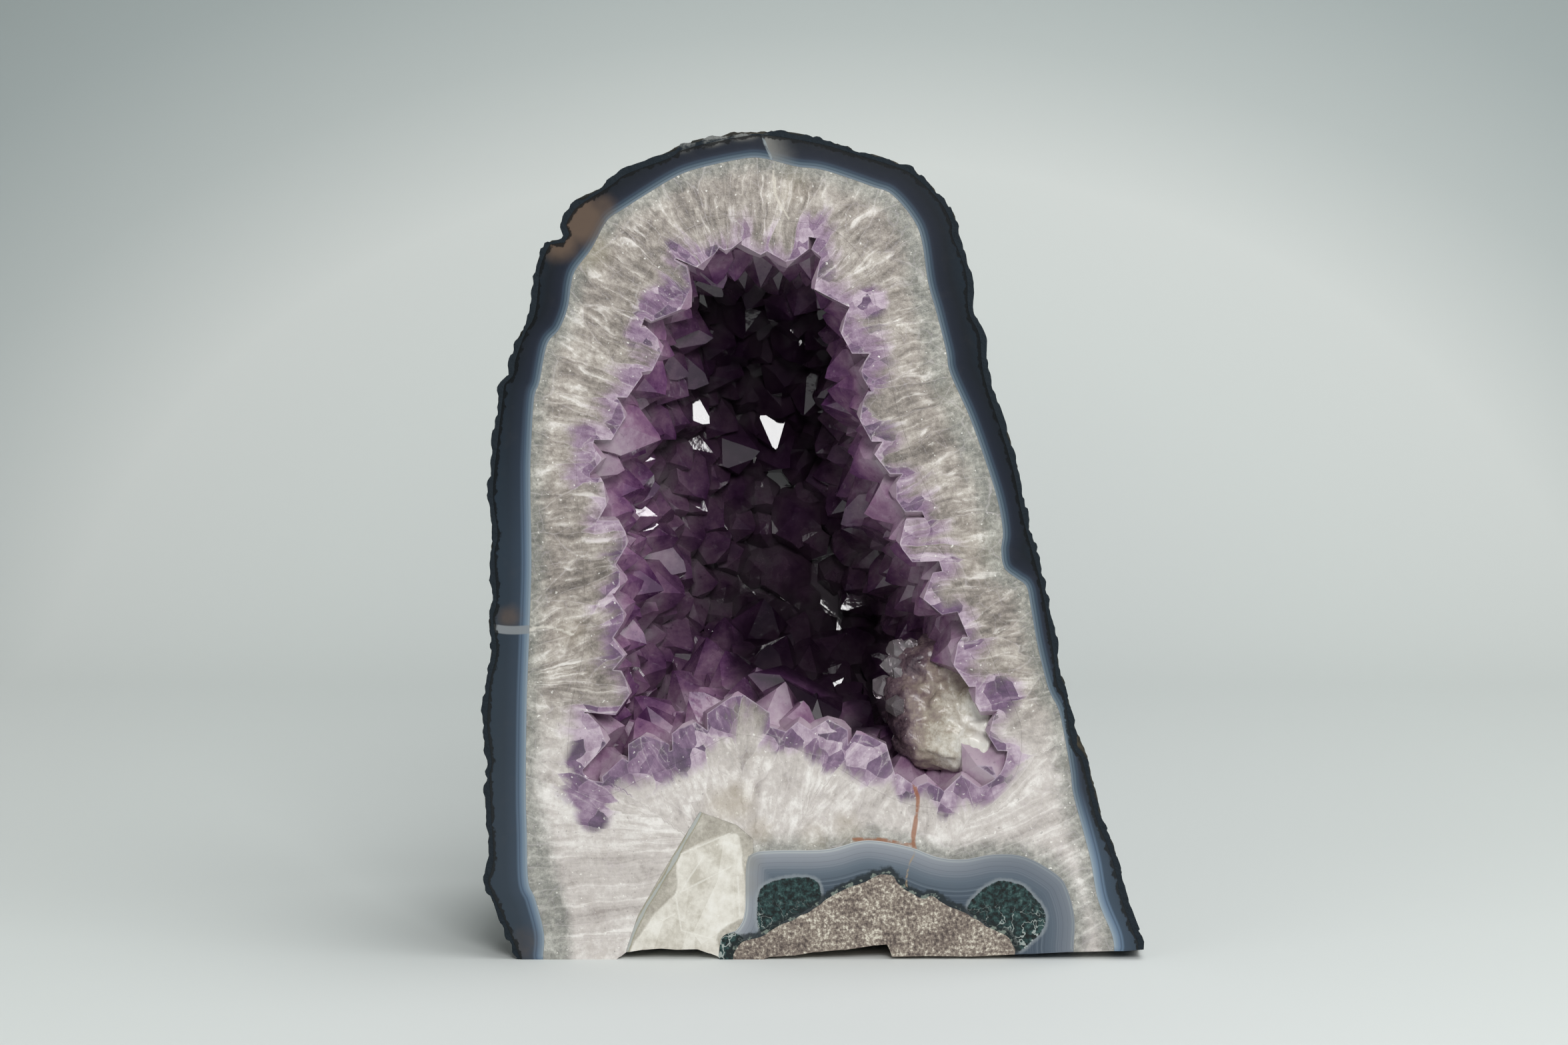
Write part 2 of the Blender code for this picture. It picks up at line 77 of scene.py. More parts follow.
# Driving dimensions, as the solids have them
FACE_Y = -80.0
GEODE_DEPTH = 165.0
RIND_THICKNESS = 2.5
AGATE_INNER_DEPTH = 148.0
HOOD_DEPTH = 151.0
TONGUE_DEPTH = 122.0
BOWL_DEPTH = 115.0
BLOCK_DEPTH = 46.0
RIND_LIFT = 0.3
BELOW_BASE = 8.0
OVERRUN = 8.0
CUTTER_OVERRUN = 12.0
UNDERCUT_HEIGHT = 110.0
UNDERCUT_SHARE = 0.18
SWELL_HEIGHT = 7.0
SWELL_WIDTH = 75.0
SWELL_RISE = 45.0
SEED = 7
SHELL_FULLNESS = 2.4
BOWL_FULLNESS = 2.2
GEODE_HUB = (0.0, -BELOW_BASE)
HOOD_HUB = (30.0, -BELOW_BASE)
TONGUE_HUB = (22.0, -BELOW_BASE)
BOWL_HUB = (-12.0, 138.0)

# The block that the geode is cut to, just inside the solids' own box
STOCK_HALF_WIDTH = 120.4
STOCK_BACK = 81.1
STOCK_TOP = 300.6

# Neighbouring pieces part by less than a tenth of a millimetre, so that no gap shows
JOINT = 0.06

# The fine triangles of the sawn face, in widths of a triangle: the height of a row, the longest
# edge left on the rim, and how near the rim a triangle's corner may come
ROW_HEIGHT = 0.866
LONGEST_EDGE = 1.6
RIM_CLEARANCE = 0.6

# Points nearer to each other than this, in metres, are one
WELD = 2e-6
# How far from the plane of the sawn face a point on it may be, in millimetres
FLATNESS = 0.003

# Outlines on the sawn face, from the left end of the base over the top to the right end
OUTER_EDGE: Outline = (
    (-109, 0), (-114, 12.5), (-119, 23.5), (-120.5, 29), (-118.6, 37), (-119.3, 53), (-119.8, 67.7),
    (-119, 72), (-120.5, 86), (-119.3, 102), (-117, 112.5), (-118.3, 124.8), (-116.9, 131),
    (-117.6, 148), (-116.4, 155), (-118, 170), (-116, 190), (-114.2, 204.7), (-113.3, 210),
    (-110.2, 213.4), (-109.7, 217.7), (-106, 228), (-102.7, 234.2), (-101.3, 244), (-100.4, 252),
    (-96.5, 260.4), (-93.2, 261.6), (-90.4, 262.4), (-91.2, 266.4), (-88.6, 271.6), (-85, 275.2),
    (-74.2, 282), (-68.2, 286.3), (-52.8, 292), (-48, 295), (-30.7, 299), (-18, 300.4),
    (1.7, 297.4), (15.4, 293.5), (30.5, 288.8), (37.4, 285.2), (47.3, 275.3), (51.6, 266.9),
    (51.8, 262.8), (54.7, 255.8), (57.2, 247), (57.8, 235.7), (61.7, 227), (63.4, 212.2),
    (69.8, 192.5), (74.2, 177.8), (77.8, 160.6), (84, 138), (88.6, 114), (90.2, 101.3),
    (92.6, 97.4), (96, 79.2), (99.4, 73.7), (104.4, 53.3), (109, 42), (112.3, 30.7),
    (113.2, 25.4), (116.6, 15.4), (120.0, 7), (120.2, 5),
)
AGATE_EDGE: Outline = (
    (-98.2, 1.4), (-97.9, 10), (-101, 22.3), (-103.5, 29), (-103.9, 46.8), (-104.2, 62.2),
    (-103.7, 94), (-102.7, 118.6), (-101.8, 143), (-102, 171.8), (-101.8, 184), (-100.6, 203.5),
    (-98.6, 209.8), (-95.8, 223.2), (-91.4, 228.7), (-88.3, 236.6), (-87, 245.3), (-85.2, 250.3),
    (-79.7, 257.5), (-74.2, 267.4), (-68.2, 271.7), (-51.6, 282), (-42.5, 285.8), (-27.4, 289.2),
    (-19, 289.8), (-6.7, 286.8), (3.6, 285.4), (20.9, 279.6), (27.8, 276.8), (35, 268.6),
    (38.4, 260.9), (40.8, 245.5), (43.7, 235.2), (47.4, 220.8), (48.8, 213), (55.7, 197.5),
    (61.7, 181), (66, 167.3), (68.0, 155.8), (67.4, 149.3), (68.6, 142.6), (73.2, 138.8),
    (76.6, 136.0), (78.2, 128.4), (80.6, 115), (84.6, 99.2), (88.4, 91.2), (90.8, 80.4),
    (92.8, 68.9), (93.8, 60.7), (97.2, 48.2), (100.3, 36.2), (103, 22), (108, 9.6), (109, 4.6),
)
HOOD_EDGE: Outline = (
    (-34.6, 0), (-33.6, 7.6), (-31, 9.6), (-27.8, 11), (-25, 17.5), (-24.5, 34.6), (-21.8, 39),
    (-13.4, 40), (4.3, 40.3), (15.8, 43.2), (22.6, 43.5), (34.8, 41.2), (44.6, 37.6),
    (54.2, 36.7), (65.5, 38.5), (76.8, 37.5), (88.3, 30.9), (92.2, 25), (94.6, 14.9), (94.3, 4.3),
)
TONGUE_EDGE: Outline = (
    (-30, 2), (-26.4, 6.8), (-19.7, 8.9), (-11.8, 13.2), (-1.9, 18), (7.9, 24.7), (17.8, 29),
    (25, 31.8), (28.8, 31), (33.6, 26), (39.8, 22.8), (42.7, 23.8), (49, 20), (56, 17),
    (65.5, 11.3), (70.6, 9), (73.4, 4),
)
BOWL_EDGE: Outline = (
    (-88, 66), (-88, 90), (-83, 115), (-83, 140), (-85, 165), (-85, 185), (-78, 207), (-68, 228),
    (-60, 248), (-47, 263), (-30, 269), (-12, 267.5), (5, 265), (17, 254), (22, 238), (26, 218),
    (31, 196), (38, 177), (46, 159), (52, 140), (60, 120), (68, 102), (75, 84), (72, 66), (58, 57),
    (38, 56), (22, 62), (7, 71), (-10, 78), (-28, 82), (-45, 74), (-62, 66), (-76, 60),
)
# The mean edge of the hollow on the sawn face, through the middle of its teeth
HOLLOW_EDGE: Outline = (
    (-74.9, 76), (-75.8, 89.3), (-69.8, 104.9), (-70.3, 124), (-71, 140.9), (-68.6, 157.7),
    (-75.8, 174.5), (-71, 196), (-62.6, 212.9), (-55.4, 227.3), (-45.8, 241.7), (-43, 250),
    (-35, 255), (-26.6, 257.3), (-14.6, 254.2), (-3, 255), (3.4, 251), (8.8, 241.7),
    (10.5, 229), (14.2, 220), (16.6, 208), (18, 193.7), (22.6, 182.9), (28, 172), (33.4, 160),
    (36, 148), (40.6, 136), (45.8, 125.3), (50.6, 115.7), (54.5, 103.7), (59.8, 91.7),
    (62.6, 79.7), (60, 70.6), (51.4, 67.7), (37, 67.8), (27, 71.4), (18, 80.6), (5.8, 86.6),
    (-8.9, 88), (-20, 92), (-28, 95), (-36.2, 89.8), (-50, 84.6), (-61.4, 79.6), (-70, 74),
)
BLOCK_EDGE: Outline = (
    (-68.4, -8), (-68, 3.4), (-63.8, 16), (-54.7, 32), (-41.3, 54), (-28, 49.2), (-22, 44),
    (-22, 20), (-28, 8), (-30, -8),
)
# Height of the sawn base's front edge over the floor, where chips and a low arch lift it
BASE_LIFT: Outline = (
    (-140, -1), (-73, -1), (-70.5, 1.4), (-68, 3.4), (-62, 4.4), (-56, 4.9), (-50, 4.4),
    (-43, 4.6), (-38, 2.8), (-35, 1.6), (-33.5, -1), (-21, -1), (-16, 1.4), (-8, 1.9), (0, 3.4),
    (10, 4.4), (22, 6.3), (26.5, 6.7), (28.4, 1.4), (40, 1.7), (55, 1.5), (77, 2.6), (92, 3.4),
    (108, 3.8), (140, 6.3),
)
LIFT_DEPTH = 46.0

# Points of the crystals that the saw cut along the rim: x, z, heading in degrees, width
RIM_CRYSTALS: tuple[tuple[float, float, float, float], ...] = (
    (-73.7, 80, 0, 17), (-65.8, 97.7, -5, 14), (-67.4, 111, 0, 13), (-67.6, 125.3, 0, 13),
    (-67.2, 138.7, 0, 11), (-66.8, 152, 0, 15), (-73.8, 167.3, 0, 13), (-74.6, 182.2, 0, 13),
    (-67.2, 198, 0, 14), (-61.5, 212.4, 0, 14), (-54, 222.5, 10, 13), (-44.2, 236.2, -30, 19),
    (-40.3, 249.6, -75, 14), (-31.5, 255.4, -90, 12), (-19.6, 254.2, -90, 13),
    (-9.5, 250.5, -90, 13), (4.3, 252, -115, 13), (-1.0, 243, -160, 18), (9.0, 228.5, 180, 14),
    (16.0, 213.3, 180, 13), (15.4, 198.5, 180, 16), (21.1, 184.2, 180, 13), (27.0, 171.0, 180, 14),
    (29.6, 153, 182, 15), (38.2, 131.6, 190, 15), (49.6, 109.5, 180, 16), (56.0, 97.6, 180, 12),
    (62.0, 84.5, 178, 14), (53.5, 68.6, 92, 16), (40.5, 67.6, 90, 16), (29.5, 68.4, 90, 13),
    (15.6, 83.6, 106, 17), (5.2, 88.8, 92, 13), (-5.5, 88.4, 90, 15), (-28.0, 97.8, 90, 18),
    (-43.6, 87.6, 92, 15), (-60.2, 82.8, 90, 13), (-70.2, 74.6, 100, 14),
)


def spaced(points: Outline, closed: bool, spacing: float) -> np.ndarray:
    """A smooth curve through points, as points at an even spacing.

    Args:
        points: The points that the curve passes through.
        closed: True if the curve joins its ends.
        spacing: The distance between the points returned, in millimetres.

    Returns:
        An array of x, z rows.
    """
    knots = np.array(points, float)
    if closed:
        near = [np.roll(knots, shift, axis=0) for shift in (1, 0, -1, -2)]
    else:
        padded = np.vstack([knots[:1], knots, knots[-1:]])
        near = [padded[shift:len(knots) - 1 + shift] for shift in range(4)]
    before, start, end, after = (part[:, None, :] for part in near)
    t = np.linspace(0, 1, 12, endpoint=False)[None, :, None]
    curve = 0.5 * (
        2 * start
        + (end - before) * t
        + (2 * before - 5 * start + 4 * end - after) * t**2
        + (3 * start - before - 3 * end + after) * t**3
    )
    curve = curve.reshape(-1, 2)
    curve = np.vstack([curve, curve[:1] if closed else knots[-1:]])
    steps = np.linalg.norm(np.diff(curve, axis=0), axis=1)
    along = np.concatenate([[0.0], np.cumsum(steps)])
    count = max(int(round(along[-1] / spacing)), 3)
    spots = np.linspace(0, along[-1], count + 1)
    found = np.column_stack([np.interp(spots, along, curve[:, axis]) for axis in (0, 1)])
    return found[:-1] if closed else found


def to_base(edge: Outline, spacing: float) -> np.ndarray:
    """A closed outline from an open edge, carried straight down past the base at both ends.

    Args:
        edge: The open edge, from left to right.
        spacing: The distance between points on it, in millimetres.

    Returns:
        The closed outline as x, z rows.
    """
    curve = spaced(edge, False, spacing)
    left, right = (curve[0][0], -BELOW_BASE), (curve[-1][0], -BELOW_BASE)
    return np.vstack([[left], curve, [right]])


def moved_out(outline: np.ndarray, distance: float) -> np.ndarray:
    """The closed outline with each point moved outwards by a distance.

    Args:
        outline: The closed outline as x, z rows.
        distance: How far to move, in millimetres; negative moves inwards.

    Returns:
        The moved outline.
    """
    x, z = outline[:, 0], outline[:, 1]
    side = math.copysign(1.0, float(np.sum(x * np.roll(z, -1) - np.roll(x, -1) * z)))
    first = outline - np.roll(outline, 1, axis=0)
    first /= np.linalg.norm(first, axis=1)[:, None]
    second = np.roll(first, -1, axis=0)
    along = first + second
    along /= np.linalg.norm(along, axis=1)[:, None]
    stretch = 1.0 / np.maximum(np.sum(along * first, axis=1), 0.5)
    out = np.column_stack([along[:, 1], -along[:, 0]]) * side
    return outline + out * (distance * stretch)[:, None]


def ragged(outline: np.ndarray, amount: float, size: float) -> np.ndarray:
    """The closed outline broken up by notches.

    Args:
        outline: The closed outline as x, z rows.
        amount: How deep the notches go, in millimetres.
        size: How wide they are, in millimetres.

    Returns:
        The broken outline, nowhere outside the smooth one.
    """
    notch = [noise.noise(Vector((x, 0.0, z)) / size) * 0.5 + 0.5 for x, z in outline]
    inner = moved_out(outline, -amount)
    return outline + (inner - outline) * np.array(notch)[:, None]


def fade(values: Any, none: Any, full: Any) -> Any:
    """How far values have gone from one bound to another, held between nought and one.

    Args:
        values: The values.
        none: Where the answer is nought.
        full: Where the answer is one.

    Returns:
        One number for each value.
    """
    return np.clip((values - none) / (full - none), 0.0, 1.0)


def tree_of(spots: np.ndarray) -> KDTree:
    """A search tree of places on the sawn face.

    Args:
        spots: The places as x, z rows.

    Returns:
        The tree, whose numbers are those of the rows.
    """
    tree = KDTree(len(spots))
    for index, (x, z) in enumerate(spots):
        tree.insert((x, 0.0, z), index)
    tree.balance()
    return tree


@dataclass(frozen=True)
class Reach:
    """How far each of many points is from a line, and where along the line its nearest place is."""

    distance: np.ndarray
    along: np.ndarray


def reach(points: np.ndarray, line: np.ndarray, closed: bool) -> Reach:
    """Measure many points against a line made of short straight stretches.

    Args:
        points: The points as x, z rows.
        line: The line's points as x, z rows, more closely spaced than its bends.
        closed: True if the line joins its ends.

    Returns:
        The distance to the line and the nearest place's length along it, both in millimetres.
    """
    count, tree = len(line), tree_of(line)
    nearest = np.array([tree.find((x, 0.0, z))[1] for x, z in points], int)
    after = np.roll(line, -1, axis=0) if closed else np.vstack([line[1:], line[-1:]])
    run = after - line
    length = np.linalg.norm(run, axis=1)
    before = np.concatenate([[0.0], np.cumsum(length)[:-1]])
    distance, along = np.full(len(points), np.inf), np.zeros(len(points))
    for shift in (-1, 0):
        index = (nearest + shift) % count if closed else np.clip(nearest + shift, 0, count - 1)
        step = points - line[index]
        share = np.sum(step * run[index], axis=1) / np.maximum(length[index] ** 2, 1e-12)
        share = np.clip(share, 0.0, 1.0)
        gap = np.linalg.norm(step - share[:, None] * run[index], axis=1)
        better = gap < distance
        distance[better] = gap[better]
        along[better] = (before[index] + share * length[index])[better]
    return Reach(distance, along)


def inside(points: np.ndarray, outline: np.ndarray) -> np.ndarray:
    """Tell which points lie inside a closed outline.

    Args:
        points: The points as x, z rows.
        outline: The closed outline as x, z rows.

    Returns:
        A row of booleans.
    """
    found = np.zeros(len(points), bool)
    for start, end in zip(outline, np.roll(outline, -1, axis=0)):
        crosses = (start[1] > points[:, 1]) != (end[1] > points[:, 1])
        if start[1] != end[1]:
            at = start[0] + (points[:, 1] - start[1]) * (end[0] - start[0]) / (end[1] - start[1])
            found ^= crosses & (points[:, 0] < at)
    return found


def inward(points: np.ndarray, ring: np.ndarray) -> np.ndarray:
    """The distance of points to a closed outline, below nought inside it.

    Args:
        points: The points as x, z rows.
        ring: The closed outline as x, z rows.

    Returns:
        One distance in millimetres for each point.
    """
    return reach(points, ring, True).distance * np.where(inside(points, ring), -1.0, 1.0)


def placed(spots: np.ndarray) -> np.ndarray:
    """Points in space from x, back and z rows, with the lean and the broad swells of the stone.

    Args:
        spots: Rows of x, distance behind the sawn face, and z.

    Returns:
        Rows of x, y, z in millimetres.
    """
    low = np.maximum(UNDERCUT_HEIGHT - spots[:, 2], 0.0) / UNDERCUT_HEIGHT
    found = np.array(spots, float)
    found[:, 1] = FACE_Y + spots[:, 1] * (1.0 - UNDERCUT_SHARE * low * low)
    rise = fade(spots[:, 1], 0.0, SWELL_RISE)
    swell = np.array([noise.noise_vector(Vector(spot) / SWELL_WIDTH) for spot in found])
    return found + swell * SWELL_HEIGHT * (rise * rise * (3.0 - 2.0 * rise))[:, None]


@dataclass(frozen=True)
class Dome:
    """A closed dome behind the sawn face: its outline there, its hub, its depth and its roundness."""

    outline: np.ndarray
    hub: tuple[float, float]
    depth: float
    fullness: float
    rings: int

    def grown(self, distance: float) -> "Dome":
        """The same dome made larger all round by a distance, or smaller by a negative one."""
        outline = moved_out(self.outline, distance)
        return Dome(outline, self.hub, self.depth + distance, self.fullness, self.rings)

    def shape(self, overrun: float = OVERRUN) -> tuple[np.ndarray, Faces]:
        """The dome's points and faces.

        Args:
            overrun: How far the dome reaches in front of the face; 0 ends it in the face.

        Returns:
            Rows of x, y, z, and the faces as tuples of point numbers.
        """
        turn = np.arange(self.rings) * math.pi / 2 / self.rings
        power = 2.0 / self.fullness
        backs = list(self.depth * np.sin(turn) ** power)
        scales = list(np.cos(turn) ** power)
        if overrun:
            backs.insert(0, -overrun)
            scales.insert(0, 1.0)
        count = len(self.outline)
        rows = [
            np.column_stack([
                self.hub[0] + (self.outline[:, 0] - self.hub[0]) * scale,
                np.full(count, back),
                self.hub[1] + (self.outline[:, 1] - self.hub[1]) * scale,
            ])
            for back, scale in zip(backs, scales)
        ]
        rows.append(np.array([[self.hub[0], self.depth, self.hub[1]]]))
        points = placed(np.vstack(rows))
        faces: Faces = [tuple(range(count))]
        for ring in range(len(backs) - 1):
            low = ring * count
            for index in range(count):
                after = (index + 1) % count
                faces.append((low + index, low + after, low + count + after))
                faces.append((low + index, low + count + after, low + count + index))
        low = (len(backs) - 1) * count
        faces += [(low + index, low + (index + 1) % count, len(points) - 1) for index in range(count)]
        return points, faces


class Cut(Enum):
    """What one solid does to another."""

    REMOVE = "DIFFERENCE"
    JOIN = "UNION"
    KEEP = "INTERSECT"


def mesh_from(name: str, points: Iterable[Any], faces: Sequence[Sequence[int]]) -> bpy.types.Mesh:
    """A mesh in metres from points in millimetres, with its faces turned outwards.

    Args:
        name: The mesh's name.
        points: The points as x, y, z rows.
        faces: The faces as tuples of point numbers.

    Returns:
        The mesh.
    """
    mesh = bpy.data.meshes.new(name)
    mesh.from_pydata([tuple(float(value) * MM for value in point) for point in points], [], faces)
    work = bmesh.new()
    work.from_mesh(mesh)
    bmesh.ops.recalc_face_normals(work, faces=work.faces)
    work.to_mesh(mesh)
    work.free()
    return mesh


def linked(name: str, mesh: bpy.types.Mesh) -> bpy.types.Object:
    """Put a mesh into the scene as an object.

    Args:
        name: The object's name.
        mesh: The mesh.

    Returns:
        The object.
    """
    obj = bpy.data.objects.new(name, mesh)
    bpy.context.scene.collection.objects.link(obj)
    return obj


def evaluated(obj: bpy.types.Object) -> bpy.types.Mesh:
    """The object's mesh with its modifiers applied.

    Args:
        obj: The object, which is removed.

    Returns:
        The mesh.
    """
    graph = bpy.context.evaluated_depsgraph_get()
    mesh = bpy.data.meshes.new_from_object(obj.evaluated_get(graph))
    mesh.name = obj.name
    bpy.data.objects.remove(obj, do_unlink=True)
    return mesh


def carved(
    mesh: bpy.types.Mesh, cuts: Sequence[tuple[Cut, bpy.types.Mesh]], solver: str = "MANIFOLD"
) -> bpy.types.Mesh:
    """A mesh after a row of Booleans by other meshes.

    Args:
        mesh: The mesh that is cut.
        cuts: What to do with each other mesh, in order.
        solver: The Boolean solver.

    Returns:
        The new mesh.
    """
    body = linked(mesh.name, mesh)
    tools = []
    for cut, tool_mesh in cuts:
        tool = linked(tool_mesh.name, tool_mesh)
        modifier = body.modifiers.new(tool.name, "BOOLEAN")
        modifier.operation = cut.value
        modifier.solver = solver
        modifier.object = tool
        tools.append(tool)
    found = evaluated(body)
    for tool in tools:
        bpy.data.objects.remove(tool, do_unlink=True)
    return found


def box_mesh(name: str, low: Sequence[float], high: Sequence[float]) -> bpy.types.Mesh:
    """A box between two corners.

    Args:
        name: The mesh's name.
        low: The lowest x, y and z, in millimetres.
        high: The highest x, y and z.

    Returns:
        The mesh.
    """
    ranges = list(zip(low, high))
    corners = [(x, y, z) for x in ranges[0] for y in ranges[1] for z in ranges[2]]
    faces = [(0, 1, 3, 2), (4, 6, 7, 5), (0, 4, 5, 1), (2, 3, 7, 6), (0, 2, 6, 4), (1, 5, 7, 3)]
    return mesh_from(name, corners, faces)


def bridged(name: str, front: Sequence[Any], rear: Sequence[Any]) -> bpy.types.Mesh:
    """A closed block between two loops of as many points.

    Args:
        name: The mesh's name.
        front: The first loop's points in millimetres.
        rear: The second loop's points.

    Returns:
        The mesh.
    """
    count = len(front)
    faces: Faces = [tuple(range(count)), tuple(range(2 * count - 1, count - 1, -1))]
    for index in range(count):
        after = (index + 1) % count
        faces.append((index, after, count + after, count + index))
    return mesh_from(name, [*front, *rear], faces)


def prism_mesh(name: str, outline: np.ndarray, front: float, rear: float) -> bpy.types.Mesh:
    """A straight block with this outline, from `front` to `rear` behind the face."""
    loops = [[(x, FACE_Y + back, z) for x, z in outline] for back in (front, rear)]
    return bridged(name, *loops)


def stock_mesh(lowest: float = 0.0) -> bpy.types.Mesh:
    """The box behind the sawn face and above the sawn base that the geode is cut to."""
    corner = (STOCK_HALF_WIDTH, STOCK_BACK, STOCK_TOP)
    return box_mesh("stock", (-STOCK_HALF_WIDTH, FACE_Y, lowest), corner)


def chips_mesh() -> bpy.types.Mesh:
    """The chips and the low arch under the front of the base, which fade to the back.

    Returns:
        The mesh of what is missing there.
    """
    low = -2 * BELOW_BASE
    loops = []
    for back, share in ((-OVERRUN, 1.0), (LIFT_DEPTH, 0.0)):
        upper = [(x, FACE_Y + back, z * share - (1.0 - share)) for x, z in BASE_LIFT]
        lower = [(x, FACE_Y + back, low) for x, _ in reversed(BASE_LIFT)]
        loops.append(upper + lower)
    return bridged("chips", *loops)


def loops_of(edges: Sequence[bmesh.types.BMEdge]) -> list[list[bmesh.types.BMVert]]:
    """The closed loops that a set of edges makes.

    Args:
        edges: The edges, each on one loop.

    Returns:
        The loops, as rows of corners in order.
    """
    ahead: dict[bmesh.types.BMVert, list[bmesh.types.BMEdge]] = {}
    for edge in edges:
        for corner in edge.verts:
            ahead.setdefault(corner, []).append(edge)
    left = dict.fromkeys(edges)
    loops = []
    while left:
        edge = next(iter(left))
        del left[edge]
        start, corner = edge.verts
        loop = [start, corner]
        while corner is not start:
            edge = next(item for item in ahead[corner] if item in left)
            del left[edge]
            corner = edge.other_vert(corner)
            if corner is not start:
                loop.append(corner)
        loops.append(loop)
    return loops


def with_fine_face(mesh: bpy.types.Mesh, spacing: float) -> None:
    """Fill the sawn face of a mesh again with small even triangles, to carry fine markings.

    Args:
        mesh: The mesh, changed in place.
        spacing: The triangles' size in millimetres.
    """
    work = bmesh.new()
    work.from_mesh(mesh)
    bmesh.ops.remove_doubles(work, verts=work.verts, dist=WELD)
    bmesh.ops.dissolve_degenerate(work, edges=work.edges, dist=WELD)
    plane = FACE_Y * MM
    flat = [
        face for face in work.faces
        if all(abs(corner.co.y - plane) < WELD for corner in face.verts)
    ]
    chosen = set(flat)
    rim = [
        edge for face in flat for edge in face.edges
        if any(other not in chosen for other in edge.link_faces)
    ]
    bmesh.ops.delete(work, geom=flat, context="FACES_ONLY")
    groups: dict[int, list[bmesh.types.BMEdge]] = {}
    for edge in dict.fromkeys(edge for edge in rim if edge.is_valid):
        groups.setdefault(int(edge.calc_length() / MM / (spacing * LONGEST_EDGE)), []).append(edge)
    for cuts, long_edges in sorted(groups.items()):
        if cuts:
            bmesh.ops.subdivide_edges(work, edges=long_edges, cuts=cuts)
    loose = [edge for edge in work.edges if not edge.link_faces]
    bmesh.ops.delete(work, geom=loose, context="EDGES")
    loops = loops_of([edge for edge in work.edges if edge.is_boundary])
    corners = [corner for loop in loops for corner in loop]
    number = {corner: index for index, corner in enumerate(corners)}
    outlines = [np.array([(corner.co.x, corner.co.z) for corner in loop]) / MM for loop in loops]
    rim_points = np.vstack(outlines)
    low, high = rim_points.min(axis=0), rim_points.max(axis=0)
    columns = np.arange(low[0], high[0], spacing)
    rows = np.arange(low[1], high[1], spacing * ROW_HEIGHT)
    grid = np.array([
        (x + (row % 2) * spacing / 2, z) for row, z in enumerate(rows) for x in columns
    ])
    kept = np.zeros(len(grid), bool)
    for outline in outlines:
        kept ^= inside(grid, outline)
    grid = grid[kept & (reach(grid, rim_points, True).distance > spacing * RIM_CLEARANCE)]
    flat_points = [Vector(point) for point in np.vstack([rim_points, grid])]
    edges = [
        (number[loop[index - 1]], number[loop[index]]) for loop in loops for index in range(len(loop))
    ]
    found = delaunay_2d_cdt(flat_points, edges, [], 0, 1e-7)
    spots = np.array([tuple(point) for point in found[0]])
    triangles = np.array([face for face in found[2] if len(face) == 3])
    middles = spots[triangles].mean(axis=1)
    keep = np.zeros(len(triangles), bool)
    for outline in outlines:
        keep ^= inside(middles, outline)
    made: list[bmesh.types.BMVert] = []
    for index, spot in enumerate(spots):
        sources = found[3][index]
        if sources and sources[0] < len(corners):
            made.append(corners[sources[0]])
        else:
            made.append(work.verts.new((spot[0] * MM, plane, spot[1] * MM)))
    for triangle in triangles[keep]:
        a, b, c = (made[index] for index in triangle)
        turned = (b.co - a.co).cross(c.co - a.co).y > 0
        work.faces.new((a, c, b) if turned else (a, b, c))
    work.to_mesh(mesh)
    work.free()


def points_of(mesh: bpy.types.Mesh) -> np.ndarray:
    """The mesh's points.

    Args:
        mesh: The mesh.

    Returns:
        Rows of x, y, z in millimetres.
    """
    found = np.empty(len(mesh.vertices) * 3, np.float32)
    mesh.vertices.foreach_get("co", found)
    return found.reshape(-1, 3).astype(float) / MM


def store(mesh: bpy.types.Mesh, **numbers: np.ndarray) -> None:
    """Keep numbers for each of the mesh's points, for its finish to read.

    Args:
        mesh: The mesh.
        numbers: One number for each point, by name.
    """
    for name, values in numbers.items():
        layer = mesh.attributes.new(name, "FLOAT", "POINT")
        layer.data.foreach_set("value", np.ascontiguousarray(values, np.float32))


# Marks on the sawn face, in millimetres: seams, veins and green patches
# Rust on the hood's top, then up the vein to the hollow and back down it to the tongue
IRON_VEIN: Outline = (
    (14.6, 43.9), (22.6, 44.0), (30.0, 42.9), (35.4, 42.0), (36.2, 45.6), (37.0, 51.6), (37.7, 59.0),
    (36.4, 63.0), (35.0, 68.5), (36.4, 63.2), (37.6, 59.0), (37.0, 51.6), (36.0, 45.6), (36.5, 39.4),
    (34.8, 35.3), (33.6, 29.8), (33.8, 26.0),
)
LEFT_CRACK: Outline = ((-119, 121.6), (-111, 120.2), (-103, 120.4), (-96, 121.4), (-87, 118.6))
CROWN_SEAM: Outline = (
    (-19.4, 301), (-17.6, 295), (-14.8, 288), (-14.4, 282), (-13.2, 275), (-9, 268),
)
BLOCK_VEIN: Outline = (
    (-68.5, 0), (-66.2, 8), (-61.8, 17.5), (-52.4, 33.2), (-42.2, 51.8), (-41, 54),
)
CREAM_EDGE: Outline = (
    (-29.5, 46.6), (-26.2, 41.3), (-25.2, 32.9), (-24.7, 16.6), (-27.6, 14.2), (-34.8, 8.4), (-35, -3),
    (-67.5, -3), (-66.7, 4.1), (-62.2, 10.6), (-58.8, 15.8), (-50.2, 25.4), (-48.7, 38.4),
)
CLEAVAGE: tuple[Outline, ...] = (
    ((-48.7, 24.5), (-30, 34.1)), ((-50.2, 24.5), (-48, 10.6)), ((-61.7, 10.6), (-50.2, 16.8)),
    ((-39.6, 38.4), (-48.7, 24.5)), ((-27.6, 30.5), (-26.8, 16)), ((-48, 10.6), (-35.3, 7.2)),
    ((-48.7, 38.4), (-29.5, 46.6)),
)
LEFT_MOSS: Outline = (
    (-20, 23), (-16.6, 27.8), (-6.7, 30), (0.5, 29), (2.4, 24.7), (1.9, 21.1), (-3.1, 18),
    (-10.6, 14.4), (-16.6, 10.1), (-20, 12),
)
